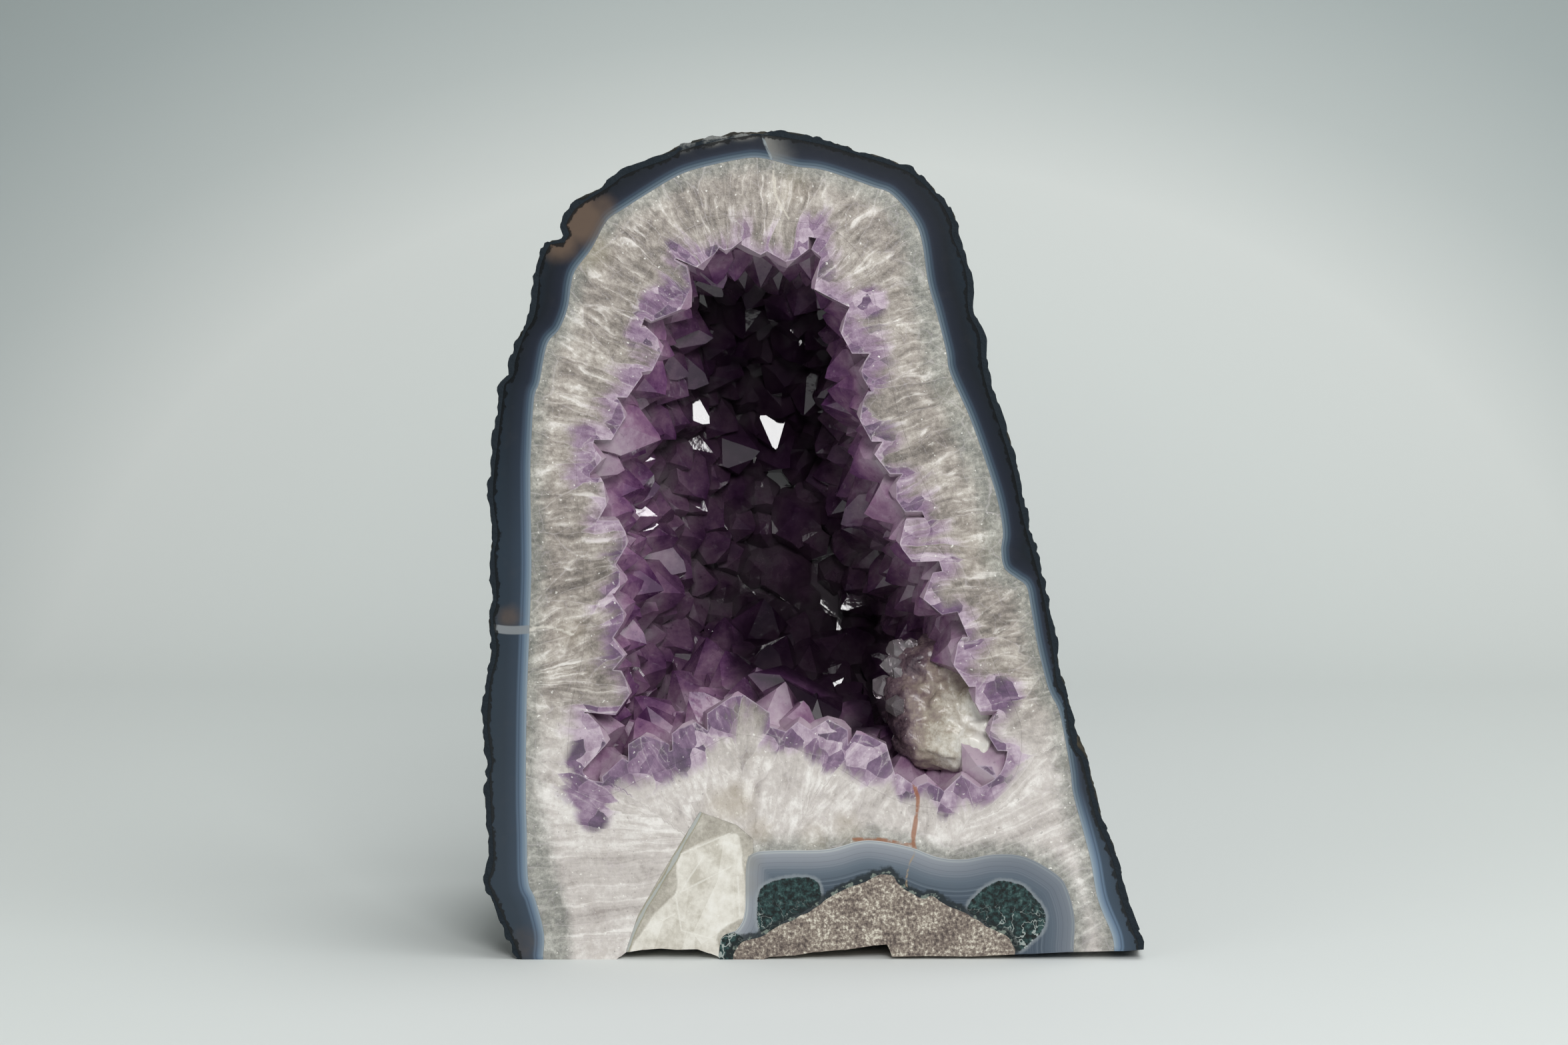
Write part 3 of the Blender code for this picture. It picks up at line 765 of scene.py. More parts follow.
CORNER_MOSS: Outline = (
    (-37, -2), (-35, 5), (-33.5, 8.6), (-29, 9.6), (-25.5, 7.6), (-27, 4), (-30, -2),
)
RIGHT_MOSS: Outline = (
    (56, 18.2), (59, 23.3), (63, 26.6), (67, 28.6), (71.3, 28.3), (76, 26.6), (79.7, 22.8),
    (83, 18.7), (84, 14.9), (82.6, 10.3), (79.2, 7), (74.6, 3.4), (70, 6), (64, 12),
)


@dataclass(frozen=True)
class Plan:
    """The lines of the sawn face that every finish measures from, so that layers meet without a step."""

    spacing: float = 0.8
    coarse: float = 2.0
    smoothing: int = 9
    shift: float = 0.55
    shifted: tuple[float, float] = (90.0, 150.0)
    spurs: tuple[Outline, ...] = (((-82, 56), (-83, 40), (-80, 6)), ((72, 58), (84, 30), (96, 4)))
    edges: tuple[tuple[str, Outline], ...] = (
        ("outer", OUTER_EDGE), ("inner", AGATE_EDGE), ("hood", HOOD_EDGE), ("tongue", TONGUE_EDGE),
        ("iron", IRON_VEIN), ("crack", LEFT_CRACK), ("seam", CROWN_SEAM), ("calcite", BLOCK_VEIN),
    )
    greens: tuple[Outline, ...] = (LEFT_MOSS, RIGHT_MOSS, CORNER_MOSS)

    def middle(self) -> np.ndarray:
        """The line that the quartz fibres stand square to: the rim low down, and nearer the agate above.

        Returns:
            The line's points as x, z rows.
        """
        hollow = spaced(HOLLOW_EDGE, True, self.coarse)
        agate = spaced(AGATE_EDGE, False, self.coarse / 2)
        nearest = agate[[np.argmin(np.sum((agate - point) ** 2, axis=1)) for point in hollow]]
        line = hollow + (nearest - hollow) * (fade(hollow[:, 1:], *self.shifted) * self.shift)
        turns = range(-self.smoothing // 2 + 1, self.smoothing // 2 + 1)
        line = np.mean([np.roll(line, turn, axis=0) for turn in turns], axis=0)
        for spur in self.spurs:
            out = spaced(spur, False, self.coarse)
            turn = np.argmin(np.sum((line - out[0]) ** 2, axis=1))
            line = np.concatenate([line[:turn + 1], out, out[::-1], line[turn:]])
        return line

    def measure(self, mesh: bpy.types.Mesh) -> np.ndarray:
        """Keep on each point how far it is from the layers' edges and from the marks.

        Args:
            mesh: The mesh, changed in place.

        Returns:
            The mesh's points on the sawn face, as x, z rows.
        """
        spots = points_of(mesh)[:, [0, 2]]
        for name, edge in self.edges:
            store(mesh, **{name: reach(spots, spaced(edge, False, self.spacing), False).distance})
        greens = [inward(spots, spaced(green, True, self.spacing)) for green in self.greens]
        fibre = reach(spots, self.middle(), True).along
        store(mesh, moss=np.minimum.reduce(greens), fibre=fibre)
        return spots


def linear(code: str) -> tuple[float, float, float, float]:
    """A colour as linear values, from its sRGB hex code.

    Args:
        code: The colour's code, with its leading sign.

    Returns:
        Red, green, blue and a full alpha.
    """
    parts = [int(code[index:index + 2], 16) / 255 for index in (1, 3, 5)]
    red, green, blue = (
        part / 12.92 if part <= 0.04045 else ((part + 0.055) / 1.055) ** 2.4 for part in parts
    )
    return red, green, blue, 1.0


def node(
    tree: bpy.types.NodeTree,
    kind: str,
    inputs: dict[Any, Any] | None = None,
    stops: Stops = (),
    **settings: Any,
) -> bpy.types.Node:
    """Add a node with its settings, and set or link its inputs.

    Args:
        tree: The tree that the node goes into.
        kind: The node's type.
        inputs: A value, a node or an output socket for each input, by name or number.
        stops: Places and hex colours of a colour ramp.
        settings: The node's own properties.

    Returns:
        The node.
    """
    made = tree.nodes.new(kind)
    for name, value in settings.items():
        setattr(made, name, value)
    for key, value in (inputs or {}).items():
        if isinstance(value, bpy.types.Node):
            tree.links.new(value.outputs[0], made.inputs[key])
        elif isinstance(value, bpy.types.NodeSocket):
            tree.links.new(value, made.inputs[key])
        else:
            made.inputs[key].default_value = value
    if stops:
        elements = made.color_ramp.elements
        elements[0].position, elements[0].color = stops[0][0], linear(stops[0][1])
        elements[1].position, elements[1].color = stops[-1][0], linear(stops[-1][1])
        for place, code in stops[1:-1]:
            elements.new(place).color = linear(code)
    return made


class Coat:
    """A finish in the making: its node tree, the numbers that the mesh keeps, and its noise patterns."""

    def __init__(
        self, name: str, numbers: Sequence[str] = (), patterns: dict[str, Sequence[float]] | None = None
    ) -> None:
        """Start the material.

        Args:
            name: The material's name.
            numbers: The names of the numbers that it reads from each point of the mesh.
            patterns: For each noise pattern its size in millimetres, its detail and its roughness.
        """
        self.material = bpy.data.materials.new(name)
        self.material.use_nodes = True
        self.tree = self.material.node_tree
        self.tree.nodes.clear()
        self.place = node(self.tree, "ShaderNodeTexCoord").outputs["Object"]
        self.at = {
            key: node(self.tree, "ShaderNodeAttribute", attribute_name=key).outputs["Fac"]
            for key in numbers
        }
        self.mist = {
            key: node(self.tree, "ShaderNodeTexNoise", {
                "Vector": self.place, "Scale": 1 / (size * MM), "Detail": detail, "Roughness": rough,
            }).outputs[0]
            for key, (size, detail, rough) in (patterns or {}).items()
        }

    def weighted(self, start: Any, *terms: tuple[Any, float]) -> Any:
        """The sum of a start and of values, each times its weight.

        Args:
            start: The number or output to start from.
            terms: Each value with its weight.

        Returns:
            The node that gives the sum.
        """
        for value, weight in terms:
            start = node(
                self.tree, "ShaderNodeMath", {0: value, 1: weight, 2: start}, operation="MULTIPLY_ADD"
            )
        return start

    def overlaid(
        self, base: bpy.types.Node, marks: Sequence[tuple[Any, float, float, float, Any]]
    ) -> bpy.types.NodeSocket:
        """Lay colours over a base colour, each with a strength that follows a value.

        Args:
            base: The node whose colour comes first.
            marks: For each colour its value, where that gives no strength, where it gives the full
                strength, that strength, and the colour as a hex code or a node.

        Returns:
            The colour with all marks on it.
        """
        under = base.outputs[0]
        for value, none, full, most, colour in marks:
            strength = node(self.tree, "ShaderNodeMapRange", {
                "Value": value, "From Min": none, "From Max": full, "To Max": most,
            }, interpolation_type="SMOOTHSTEP")
            over = linear(colour) if isinstance(colour, str) else colour
            under = node(
                self.tree, "ShaderNodeMix", {0: strength, 6: under, 7: over}, data_type="RGBA"
            ).outputs[2]
        return under

    def finished(
        self, inputs: dict[str, Any], bump: tuple[float, float, Any] | None = None,
        volume: bpy.types.Node | None = None,
    ) -> bpy.types.Material:
        """Close the tree with its shader.

        Args:
            inputs: The shader's inputs by name.
            bump: The bump's strength, its height in millimetres and the value that it follows.
            volume: The shader of the inside, where light passes through.

        Returns:
            The material.
        """
        if bump:
            strength, height, value = bump
            inputs["Normal"] = node(self.tree, "ShaderNodeBump", {
                "Strength": strength, "Distance": height * MM, "Height": value,
            })
        ends = {"Surface": node(self.tree, "ShaderNodeBsdfPrincipled", inputs)}
        if volume:
            ends["Volume"] = volume
        node(self.tree, "ShaderNodeOutputMaterial", ends)
        return self.material


@dataclass(frozen=True)
class SawnQuartz:
    """Milky quartz, sawn and lightly polished: grey grains by the agate, feathery fibres, amethyst tips.

    The fibres run from the agate towards the hollow. Each pattern on them has a width across the
    fibres and a length along them, in millimetres.
    """

    name: str = "milky quartz, sawn and polished"
    feather: tuple[float, float] = (3.0, 11.0)
    fan: tuple[float, float] = (6.5, 30.0)
    column: tuple[float, float] = (9.5, 26.0)
    facet: float = 6.5
    ripple: float = 7.0
    bend: float = 4.0
    ior: float = 1.544

    def build(self) -> bpy.types.Material:
        """Make the material.

        Returns:
            The material, which reads tip, fibre, edge, purple, milk, stain, iron, crack and seam.
        """
        coat = Coat(
            self.name, ("tip", "fibre", "edge", "purple", "milk", "stain", "iron", "crack", "seam"),
            {"wander": (14, 2, 0.5), "cloud": (5.5, 5, 0.68), "grain": (1.3, 4, 0.7),
             "fleck_and_glint": (1.7, 2, 0.55)},
        )
        tree, at, mist, weighted = coat.tree, coat.at, coat.mist, coat.weighted

        # Directions that follow the fibres: along the rim in x, towards the hollow in y
        across = weighted(at["fibre"], (mist["wander"], 5.0), (mist["cloud"], 1.2))
        feathers, fans, columns = (
            node(tree, "ShaderNodeCombineXYZ", {
                0: weighted(0.0, (across, 1 / width)), 1: weighted(0.0, (at["tip"], 1 / length)),
            })
            for width, length in (self.feather, self.fan, self.column)
        )
        feather, fan = (
            node(tree, "ShaderNodeTexNoise", {
                "Vector": flow, "Scale": 1.0, "Detail": 3.0, "Roughness": rough, "Distortion": bend,
            }).outputs[0]
            for flow, rough, bend in ((feathers, 0.62, 0.5), (fans, 0.6, 0.0))
        )
        bent = node(tree, "ShaderNodeVectorMath", {
            0: node(tree, "ShaderNodeTexNoise", {
                "Vector": coat.place, "Scale": 1 / (self.ripple * MM),
            }).outputs[1],
            1: [self.bend * MM] * 3, 2: coat.place,
        }, operation="MULTIPLY_ADD")
        column, joint, facet, ridge = (
            node(
                tree, "ShaderNodeTexVoronoi", {"Vector": flow, "Scale": scale},
                voronoi_dimensions=kind, feature=feature,
            )
            for flow, scale, kind in ((columns, 1.0, "2D"), (bent, 1 / (self.facet * MM), "3D"))
            for feature in ("F1", "DISTANCE_TO_EDGE")
        )
        column_tone, facet_tone = (
            node(tree, "ShaderNodeSeparateColor", {0: cells.outputs["Color"]}).outputs[0]
            for cells in (column, facet)
        )

        # The body: smoky above, milky below, grey and translucent by the agate
        milkiness = weighted(
            -0.155, (feather, 0.42), (fan, 0.22), (mist["cloud"], 0.36), (mist["grain"], 0.22),
            (column_tone, 0.09),
        )
        smoky, milky, grey, mauve = (
            node(tree, "ShaderNodeValToRGB", {0: tone}, stops=stops) for tone, stops in (
                (milkiness, [(0.34, "#564f4b"), (0.43, "#7d756e"), (0.5, "#9b928a"), (0.57, "#b7afa6"),
                             (0.66, "#e0dbd4")]),
                (milkiness, [(0.34, "#a09894"), (0.43, "#bcb5b0"), (0.5, "#c8c1bc"), (0.57, "#d9d4cf"),
                             (0.66, "#eeebe7")]),
                (weighted(-0.08, (milkiness, 0.35), (mist["cloud"], 0.4), (mist["grain"], 0.4)),
                 [(0.36, "#62645f"), (0.46, "#7c7e78"), (0.54, "#94948c"), (0.66, "#bbbbb3")]),
                (weighted(-0.07, (facet_tone, 0.34), (feather, 0.3), (mist["cloud"], 0.5)),
                 [(0.3, "#3d2349"), (0.4, "#5b3c63"), (0.5, "#77597a"), (0.58, "#927a92"),
                  (0.7, "#bba9b8")]),
            )
        )
        tips = weighted(
            21.0, (fan, -14.0), (feather, -12.0), (column_tone, -8.0), (mist["cloud"], -8.0),
            (at["purple"], -15.0), (at["tip"], 1.0),
        )
        colour = coat.overlaid(smoky, [
            (at["milk"], 0.0, 1.0, 1.0, milky),
            (feather, 0.55, 0.72, 0.6, "#e3ded9"),
            (weighted(at["edge"], (mist["cloud"], 9.0)), 13.0, 4.5, 0.85, grey),
            (tips, 9.0, 0.0, 0.92, mauve),
            (feather, 0.6, 0.78, 0.4, "#e3ded9"),
            (weighted(joint.outputs[0], (mist["grain"], 0.12)), 0.085, 0.045, 0.35, "#ded6d6"),
            (weighted(ridge.outputs[0], (mist["cloud"], 0.2)), 0.12, 0.09, 0.14, "#d9cfd8"),
            # Painted glints: small bright flecks painted into the colour, as light catching the polished
            # face
            (mist["fleck_and_glint"], 0.66, 0.74, 0.75, "#f0eee8"),
            (mist["fleck_and_glint"], 0.34, 0.26, 0.45, "#6a625f"),
            (weighted(at["tip"], (mist["cloud"], 2.0)), 1.6, 0.8, 0.55, "#cbbdc9"),
            (weighted(at["stain"], (mist["cloud"], -1.6)), -0.9, 0.7, 0.5, "#a89b83"),
            (weighted(at["iron"], (feather, -1.6)), 0.1, -0.6, 0.8, "#8f5328"),
            (weighted(at["crack"], (mist["cloud"], -2.4)), -0.4, -1.0, 0.7, "#d8d3c9"),
            (weighted(at["seam"], (mist["cloud"], -2.2)), -0.5, -0.9, 0.7, "#cfc8bb"),
        ])
        roughness = node(tree, "ShaderNodeMapRange", {
            "Value": mist["grain"], "To Min": 0.2, "To Max": 0.5,
        })
        relief = weighted(mist["grain"], (feather, 1.0), (facet_tone, 0.5))
        return coat.finished({
            "Base Color": colour, "Roughness": roughness, "IOR": self.ior,
        }, (0.35, 0.5, relief))


@dataclass(frozen=True)
class SawnAgate:
    """Banded agate, sawn and polished: dark slate, with pale bands where it meets the quartz."""

    name: str = "banded agate, sawn and polished"
    band: float = 0.9
    reach: float = 16.0
    roughness: float = 0.24
    specular: float = 0.3
    ior: float = 1.54

    def build(self) -> bpy.types.Material:
        """Make the material.

        Returns:
            The material, which reads band, far, dusk, skin, hooded, light, brown, pale, moss, tongue,
            crack, iron and seam.
        """
        coat = Coat(
            self.name,
            ("band", "far", "dusk", "skin", "hooded", "light", "brown", "pale", "moss", "tongue",
             "crack", "iron", "seam"),
            {"wander": (30, 2, 0.5), "cloud": (6, 4, 0.6), "tuft": (1.9, 4, 0.7), "wave": (3.2, 3, 0.6),
             "curl": (3.4, 2, 0.5)},
        )
        tree, at, mist, weighted = coat.tree, coat.at, coat.mist, coat.weighted
        layers = node(tree, "ShaderNodeTexNoise", {
            "W": weighted(at["band"], (mist["wander"], 1.2)), "Scale": 1 / self.band,
            "Detail": 2.0, "Roughness": 0.7,
        }, noise_dimensions="1D").outputs[0]
        share = weighted(0.0, (at["band"], 1 / self.reach))
        shell, bright, hood, moss = (
            node(tree, "ShaderNodeValToRGB", {0: tone}, stops=stops) for tone, stops in (
                (share, [(0.0, "#75818a"), (0.03, "#67747f"), (0.0625, "#44525e"), (0.08, "#566570"),
                         (0.11, "#465562"), (0.13, "#313d4a"), (0.15, "#3a4756"), (0.2, "#262c38"),
                         (0.27, "#1f242f"), (0.5, "#191e25"), (0.85, "#19242d"), (1.0, "#151e24")]),
                (share, [(0.0, "#97a3ac"), (0.06, "#7c8d9c"), (0.14, "#62768c"), (0.17, "#4a5a6c"),
                         (0.2, "#5d7186"), (0.25, "#3a4857"), (0.5, "#323e4a"), (1.0, "#2b3742")]),
                (share, [(0.0, "#cccdcc"), (0.025, "#8b9298"), (0.05, "#a9aeb0"), (0.09, "#8f949b"),
                         (0.3, "#7c828b"), (0.5, "#5f6a75"), (0.75, "#4b5763"), (1.0, "#3f4b58")]),
                (mist["tuft"], [(0.36, "#080d0d"), (0.46, "#152223"), (0.54, "#223a3a"),
                                (0.64, "#3a5452"), (0.74, "#6d7f7b")]),
            )
        )

        # Pale curls that grow out of the green patches, finer towards the base
        folds = node(tree, "ShaderNodeMath", {0: mist["curl"], 1: 0.5}, operation="SUBTRACT")
        height = node(tree, "ShaderNodeSeparateXYZ", {0: coat.place}).outputs[2]
        curl = weighted(node(tree, "ShaderNodeMath", {0: folds}, operation="ABSOLUTE"), (height, 2.4))
        outside = node(tree, "ShaderNodeMath", {0: at["moss"], 1: 0.0}, operation="MAXIMUM")
        mossed = weighted(at["moss"], (mist["tuft"], 1.6))
        margin = weighted(at["tongue"], (mist["wave"], -4.2))
        rindward = weighted(at["skin"], (at["hooded"], 9.0), (mist["wave"], -4.5))
        colour = coat.overlaid(shell, [
            # Brighter bands low on the right, and a painted reflection lightening the bands on the left
            (at["light"], 0.0, 1.0, 1.0, bright),
            (at["hooded"], 0.4, 0.6, 1.0, hood),
            (at["dusk"], 0.0, 1.0, 0.55, "#4b5663"),
            (weighted(layers, (at["far"], 0.04)), 0.5, 0.34, 0.24, "#1d242c"),
            (weighted(layers, (at["far"], -0.04)), 0.5, 0.66, 0.16, "#98a2aa"),
            (weighted(at["brown"], (mist["cloud"], -0.4)), -0.2, 0.8, 0.9, "#635347"),
            (weighted(at["pale"], (mist["cloud"], -0.3)), -0.15, 0.95, 0.8, "#85847f"),
            (mossed, 2.6, 1.3, 0.45, "#9aa1a4"),
            (mossed, 1.15, 0.75, 1.0, moss),
            (weighted(curl, (outside, 0.06)), 0.06, 0.035, 0.8, "#a7b0ac"),
            (margin, 0.4, -1.0, 0.85, "#141c1e"),
            (margin, -1.7, -2.0, 0.75, "#7e897f"),
            (weighted(at["crack"], (mist["wander"], -1.0)), 1.3, 0.8, 0.85, "#83878a"),
            (weighted(at["iron"], (mist["wave"], -0.7)), 0.15, -0.2, 0.7, "#9c8a72"),
            (weighted(at["seam"], (mist["wave"], -0.8)), 0.2, -0.2, 0.75, "#8b9498"),
            (rindward, -1.0, -1.6, 0.9, "#090c0e"),
        ])
        return coat.finished({
            "Base Color": colour, "Roughness": self.roughness, "IOR": self.ior,
            "Specular IOR Level": self.specular,
        }, (0.12, 0.2, mist["tuft"]))


@dataclass(frozen=True)
class AmethystCrystal:
    """Amethyst crystal faces: glassy, clear to smoky purple, paler at the root than at the point."""

    name: str = "amethyst, natural crystal faces"
    transmission: float = 0.3
    roughness: float = 0.06
    ior: float = 1.544
    absorption: str = "#9a62a0"
    density: float = 80.0
    reach: float = 22.0

    def build(self) -> bpy.types.Material:
        """Make the material.

        Returns:
            The material, which reads the lift off the wall and a painted shade that darkens it deep in
            the hollow, high up and behind the mound.
        """
        coat = Coat(self.name, ("lift", "gloom"), {
            "veil": (11, 5, 0.66), "frost": (2.6, 4, 0.7), "growth": (4, 2, 0.5),
        })
        tree, at, mist = coat.tree, coat.at, coat.mist
        depth = coat.weighted(-0.65, (mist["veil"], 1.5), (at["lift"], 1 / self.reach))
        tint = node(tree, "ShaderNodeValToRGB", {0: depth}, stops=[
            (0.0, "#cbb7c4"), (0.25, "#b89bb2"), (0.45, "#a07999"), (0.65, "#825982"), (0.9, "#5d3661"),
        ])
        colour = coat.overlaid(tint, [
            (mist["frost"], 0.58, 0.72, 0.45, "#c0aabb"),
            (mist["frost"], 0.4, 0.28, 0.5, "#41234a"),
            # Painted shade: near black deep in the hollow, high up and in the pocket behind the mound
            (at["gloom"], 0.0, 1.0, 0.93, "#120914"),
        ])
        volume = node(tree, "ShaderNodeVolumeAbsorption", {
            "Color": linear(self.absorption), "Density": self.density,
        })
        relief = coat.weighted(mist["growth"], (mist["frost"], 0.3))
        return coat.finished({
            "Base Color": colour, "Roughness": self.roughness, "IOR": self.ior,
            "Transmission Weight": self.transmission,
        }, (0.14, 0.5, relief), volume)


@dataclass(frozen=True)
class GrownQuartz:
    """The quartz side of the crust, where the crystals grew from: milky, with a purple tinge."""

    name: str = "milky quartz, grown"
    patch: float = 9.0
    roughness: float = 0.5
    ior: float = 1.544

    def build(self) -> bpy.types.Material:
        """Make the material.

        Returns:
            The material.
        """
        coat = Coat(self.name, patterns={"cloud": (self.patch, 3, 0.5)})
        tint = node(coat.tree, "ShaderNodeValToRGB", {0: coat.mist["cloud"]}, stops=[
            (0.3, "#7c6488"), (0.7, "#b7a9bb"),
        ])
        return coat.finished({"Base Color": tint, "Roughness": self.roughness, "IOR": self.ior})


@dataclass(frozen=True)
class RoughBasalt:
    """Weathered basalt skin as broken from the rock: near black, matt, with rusty and pale specks."""

    name: str = "basalt skin, rough and weathered"
    patch: float = 26.0
    pit: float = 5.0
    grit: float = 1.6
    roughness: float = 0.88
    specular: float = 0.2

    def build(self) -> bpy.types.Material:
        """Make the material.

        Returns:
            The material, which reads cut, sawn and pale.
        """
        coat = Coat(self.name, ("cut", "sawn", "pale"), {
            "patch": (self.patch, 5, 0.62), "pit": (self.pit, 3, 0.6), "grit": (self.grit, 4, 0.7),
        })
        at, mist, weighted = coat.at, coat.mist, coat.weighted
        ground = node(coat.tree, "ShaderNodeValToRGB", {0: mist["patch"]}, stops=[
            (0.2, "#1a1b18"), (0.45, "#2a2a25"), (0.58, "#3a372f"), (0.7, "#4c4335"), (0.85, "#2c332d"),
        ])
        colour = coat.overlaid(ground, [
            (mist["pit"], 0.42, 0.3, 0.6, "#121310"),
            (mist["grit"], 0.62, 0.72, 0.4, "#7d7a70"),
            (at["cut"], 0.0, 1.0, 0.93, "#060809"),
            (weighted(at["sawn"], (mist["pit"], -1.6)), -0.4, 0.05, 0.9, "#222a31"),
            (weighted(at["pale"], (mist["pit"], 1.8)), 1.25, 1.7, 0.7, "#8f918e"),
        ])
        relief = weighted(mist["grit"], (mist["pit"], 2.2))
        return coat.finished({
            "Base Color": colour, "Roughness": self.roughness, "Specular IOR Level": self.specular,
        }, (0.7, 1.4, relief))


@dataclass(frozen=True)
class SawnBasalt:
    """Sawn basalt: brown-grey, crowded with pale feldspar grains half a millimetre to two across."""

    name: str = "basalt, sawn"
    grain: float = 1.25
    roughness: float = 0.62

    def build(self) -> bpy.types.Material:
        """Make the material.

        Returns:
            The material, which reads tongue.
        """
        coat = Coat(self.name, ("tongue",), {
            "grain": (self.grain, 4, 0.72), "crowd": (7, 3, 0.6), "wave": (3.2, 3, 0.6),
        })
        mist = coat.mist
        tone = node(coat.tree, "ShaderNodeValToRGB", {
            0: coat.weighted(-0.2, (mist["grain"], 1.0), (mist["crowd"], 0.4)),
        }, stops=[
            (0.34, "#453b37"), (0.43, "#6b5f58"), (0.5, "#83776c"), (0.56, "#a1978a"), (0.63, "#d0cabb"),
            (0.75, "#e0dccf"),
        ])
        margin = coat.weighted(coat.at["tongue"], (mist["wave"], -1.8))
        colour = coat.overlaid(tone, [(margin, -0.35, -0.6, 0.8, "#aeb2a4")])
        return coat.finished({
            "Base Color": colour, "Roughness": self.roughness,
        }, (0.3, 0.4, mist["grain"]))


@dataclass(frozen=True)
class CreamCalcite:
    """Cream calcite, sawn and cleaved: soft white with straight cleavage lines and a waxy gloss."""

    name: str = "cream calcite, sawn and cleaved"
    patch: float = 11.0
    stretch: tuple[float, float, float] = (1.0, 0.4, 0.45)
    lean: float = math.radians(-32)
    roughness: float = 0.36
    ior: float = 1.6

    def build(self) -> bpy.types.Material:
        """Make the material.

        Returns:
            The material, which reads cream, calcite and cleave.
        """
        coat = Coat(self.name, ("cream", "calcite", "cleave"), {
            "cloud": (8, 5, 0.6), "grain": (1.3, 4, 0.7), "fleck_and_glint": (1.7, 2, 0.55),
        })
        tree, at, mist, weighted = coat.tree, coat.at, coat.mist, coat.weighted
        turned = node(tree, "ShaderNodeMapping", {
            "Vector": coat.place, "Rotation": (0.0, self.lean, 0.0), "Scale": self.stretch,
        })
        patches = node(tree, "ShaderNodeTexVoronoi", {"Vector": turned, "Scale": 1 / (self.patch * MM)})
        share = node(tree, "ShaderNodeSeparateColor", {0: patches.outputs["Color"]}).outputs[0]
        body, translucent = (
            node(tree, "ShaderNodeValToRGB", {0: tone}, stops=stops) for tone, stops in (
                (weighted(-0.07, (share, 0.12), (mist["cloud"], 0.8), (mist["grain"], 0.25)),
                 [(0.38, "#bab4a7"), (0.48, "#cfcabf"), (0.56, "#dcd8ce"), (0.66, "#e5e2da"),
                  (0.8, "#ecebe5")]),
                (weighted(0.0, (mist["grain"], 0.5), (mist["cloud"], 0.5)),
                 [(0.35, "#8d877d"), (0.5, "#a9a397"), (0.65, "#c6c1b6")]),
            )
        )
        wave = weighted(at["calcite"], (mist["cloud"], -1.6))
        cleaved = weighted(at["cleave"], (mist["cloud"], 0.9))
        colour = coat.overlaid(body, [
            (weighted(at["cream"], (mist["cloud"], 3.0)), 0.8, 1.8, 0.95, translucent),
            # Painted glints: small bright flecks painted into the colour, as light catching cleavage
            # faces
            (mist["fleck_and_glint"], 0.68, 0.76, 0.6, "#f2f1ea"),
            (cleaved, 0.85, 0.5, 0.5, "#f1efe8"),
            (cleaved, 0.6, 0.4, 0.35, "#a39d90"),
            (wave, 0.3, -0.05, 0.7, "#8f8b72"),
            (wave, -0.2, -0.45, 0.85, "#a9adab"),
        ])
        relief = weighted(mist["cloud"], (share, 0.5))
        return coat.finished({
            "Base Color": colour, "Roughness": self.roughness, "IOR": self.ior,
        }, (0.3, 0.6, relief))


@dataclass(frozen=True)
class PaleCalcite:
    """Pale calcite, grown: cloudy and glassy above, chalky white at the lower right."""

    name: str = "pale calcite, natural crystal faces"
    transmission: float = 0.2
    roughness: float = 0.24
    ior: float = 1.6

    def build(self) -> bpy.types.Material:
        """Make the material.

        Returns:
            The material, which reads chalk.
        """
        coat = Coat(self.name, ("chalk",), {
            "cloud": (8, 5, 0.68), "grain": (1.5, 4, 0.7), "fleck_and_glint": (2.2, 2, 0.5),
        })
        at, mist, weighted = coat.at, coat.mist, coat.weighted
        glassy = node(coat.tree, "ShaderNodeValToRGB", {
            0: weighted(-0.65, (at["chalk"], 0.78), (mist["cloud"], 0.9), (mist["grain"], 0.4)),
        }, stops=[
            (0.0, "#40303b"), (0.16, "#735f66"), (0.3, "#96857f"), (0.47, "#b1a595"), (0.62, "#d9d2c4"),
            (0.74, "#f2eee5"),
        ])
        # Painted glints: small bright flecks painted into the colour, as light catching the glassy faces
        colour = coat.overlaid(glassy, [(mist["fleck_and_glint"], 0.68, 0.76, 0.6, "#f4f1ec")])
        relief = weighted(mist["cloud"], (mist["grain"], 0.5))
        return coat.finished({
            "Base Color": colour, "Roughness": self.roughness, "IOR": self.ior,
            "Transmission Weight": self.transmission,
        }, (0.5, 0.8, relief))


@dataclass(frozen=True)
class ClearQuartz:
    """Small clear quartz crystals, as grown: colourless and glassy, so that they sparkle."""

    name: str = "clear quartz, natural crystal faces"
    colour: str = "#d6ccd1"
    transmission: float = 0.84
    roughness: float = 0.05
    ior: float = 1.544

    def build(self) -> bpy.types.Material:
        """Make the material.

        Returns:
            The material.
        """
        return Coat(self.name).finished({
            "Base Color": linear(self.colour), "Roughness": self.roughness, "IOR": self.ior,
            "Transmission Weight": self.transmission,
        })


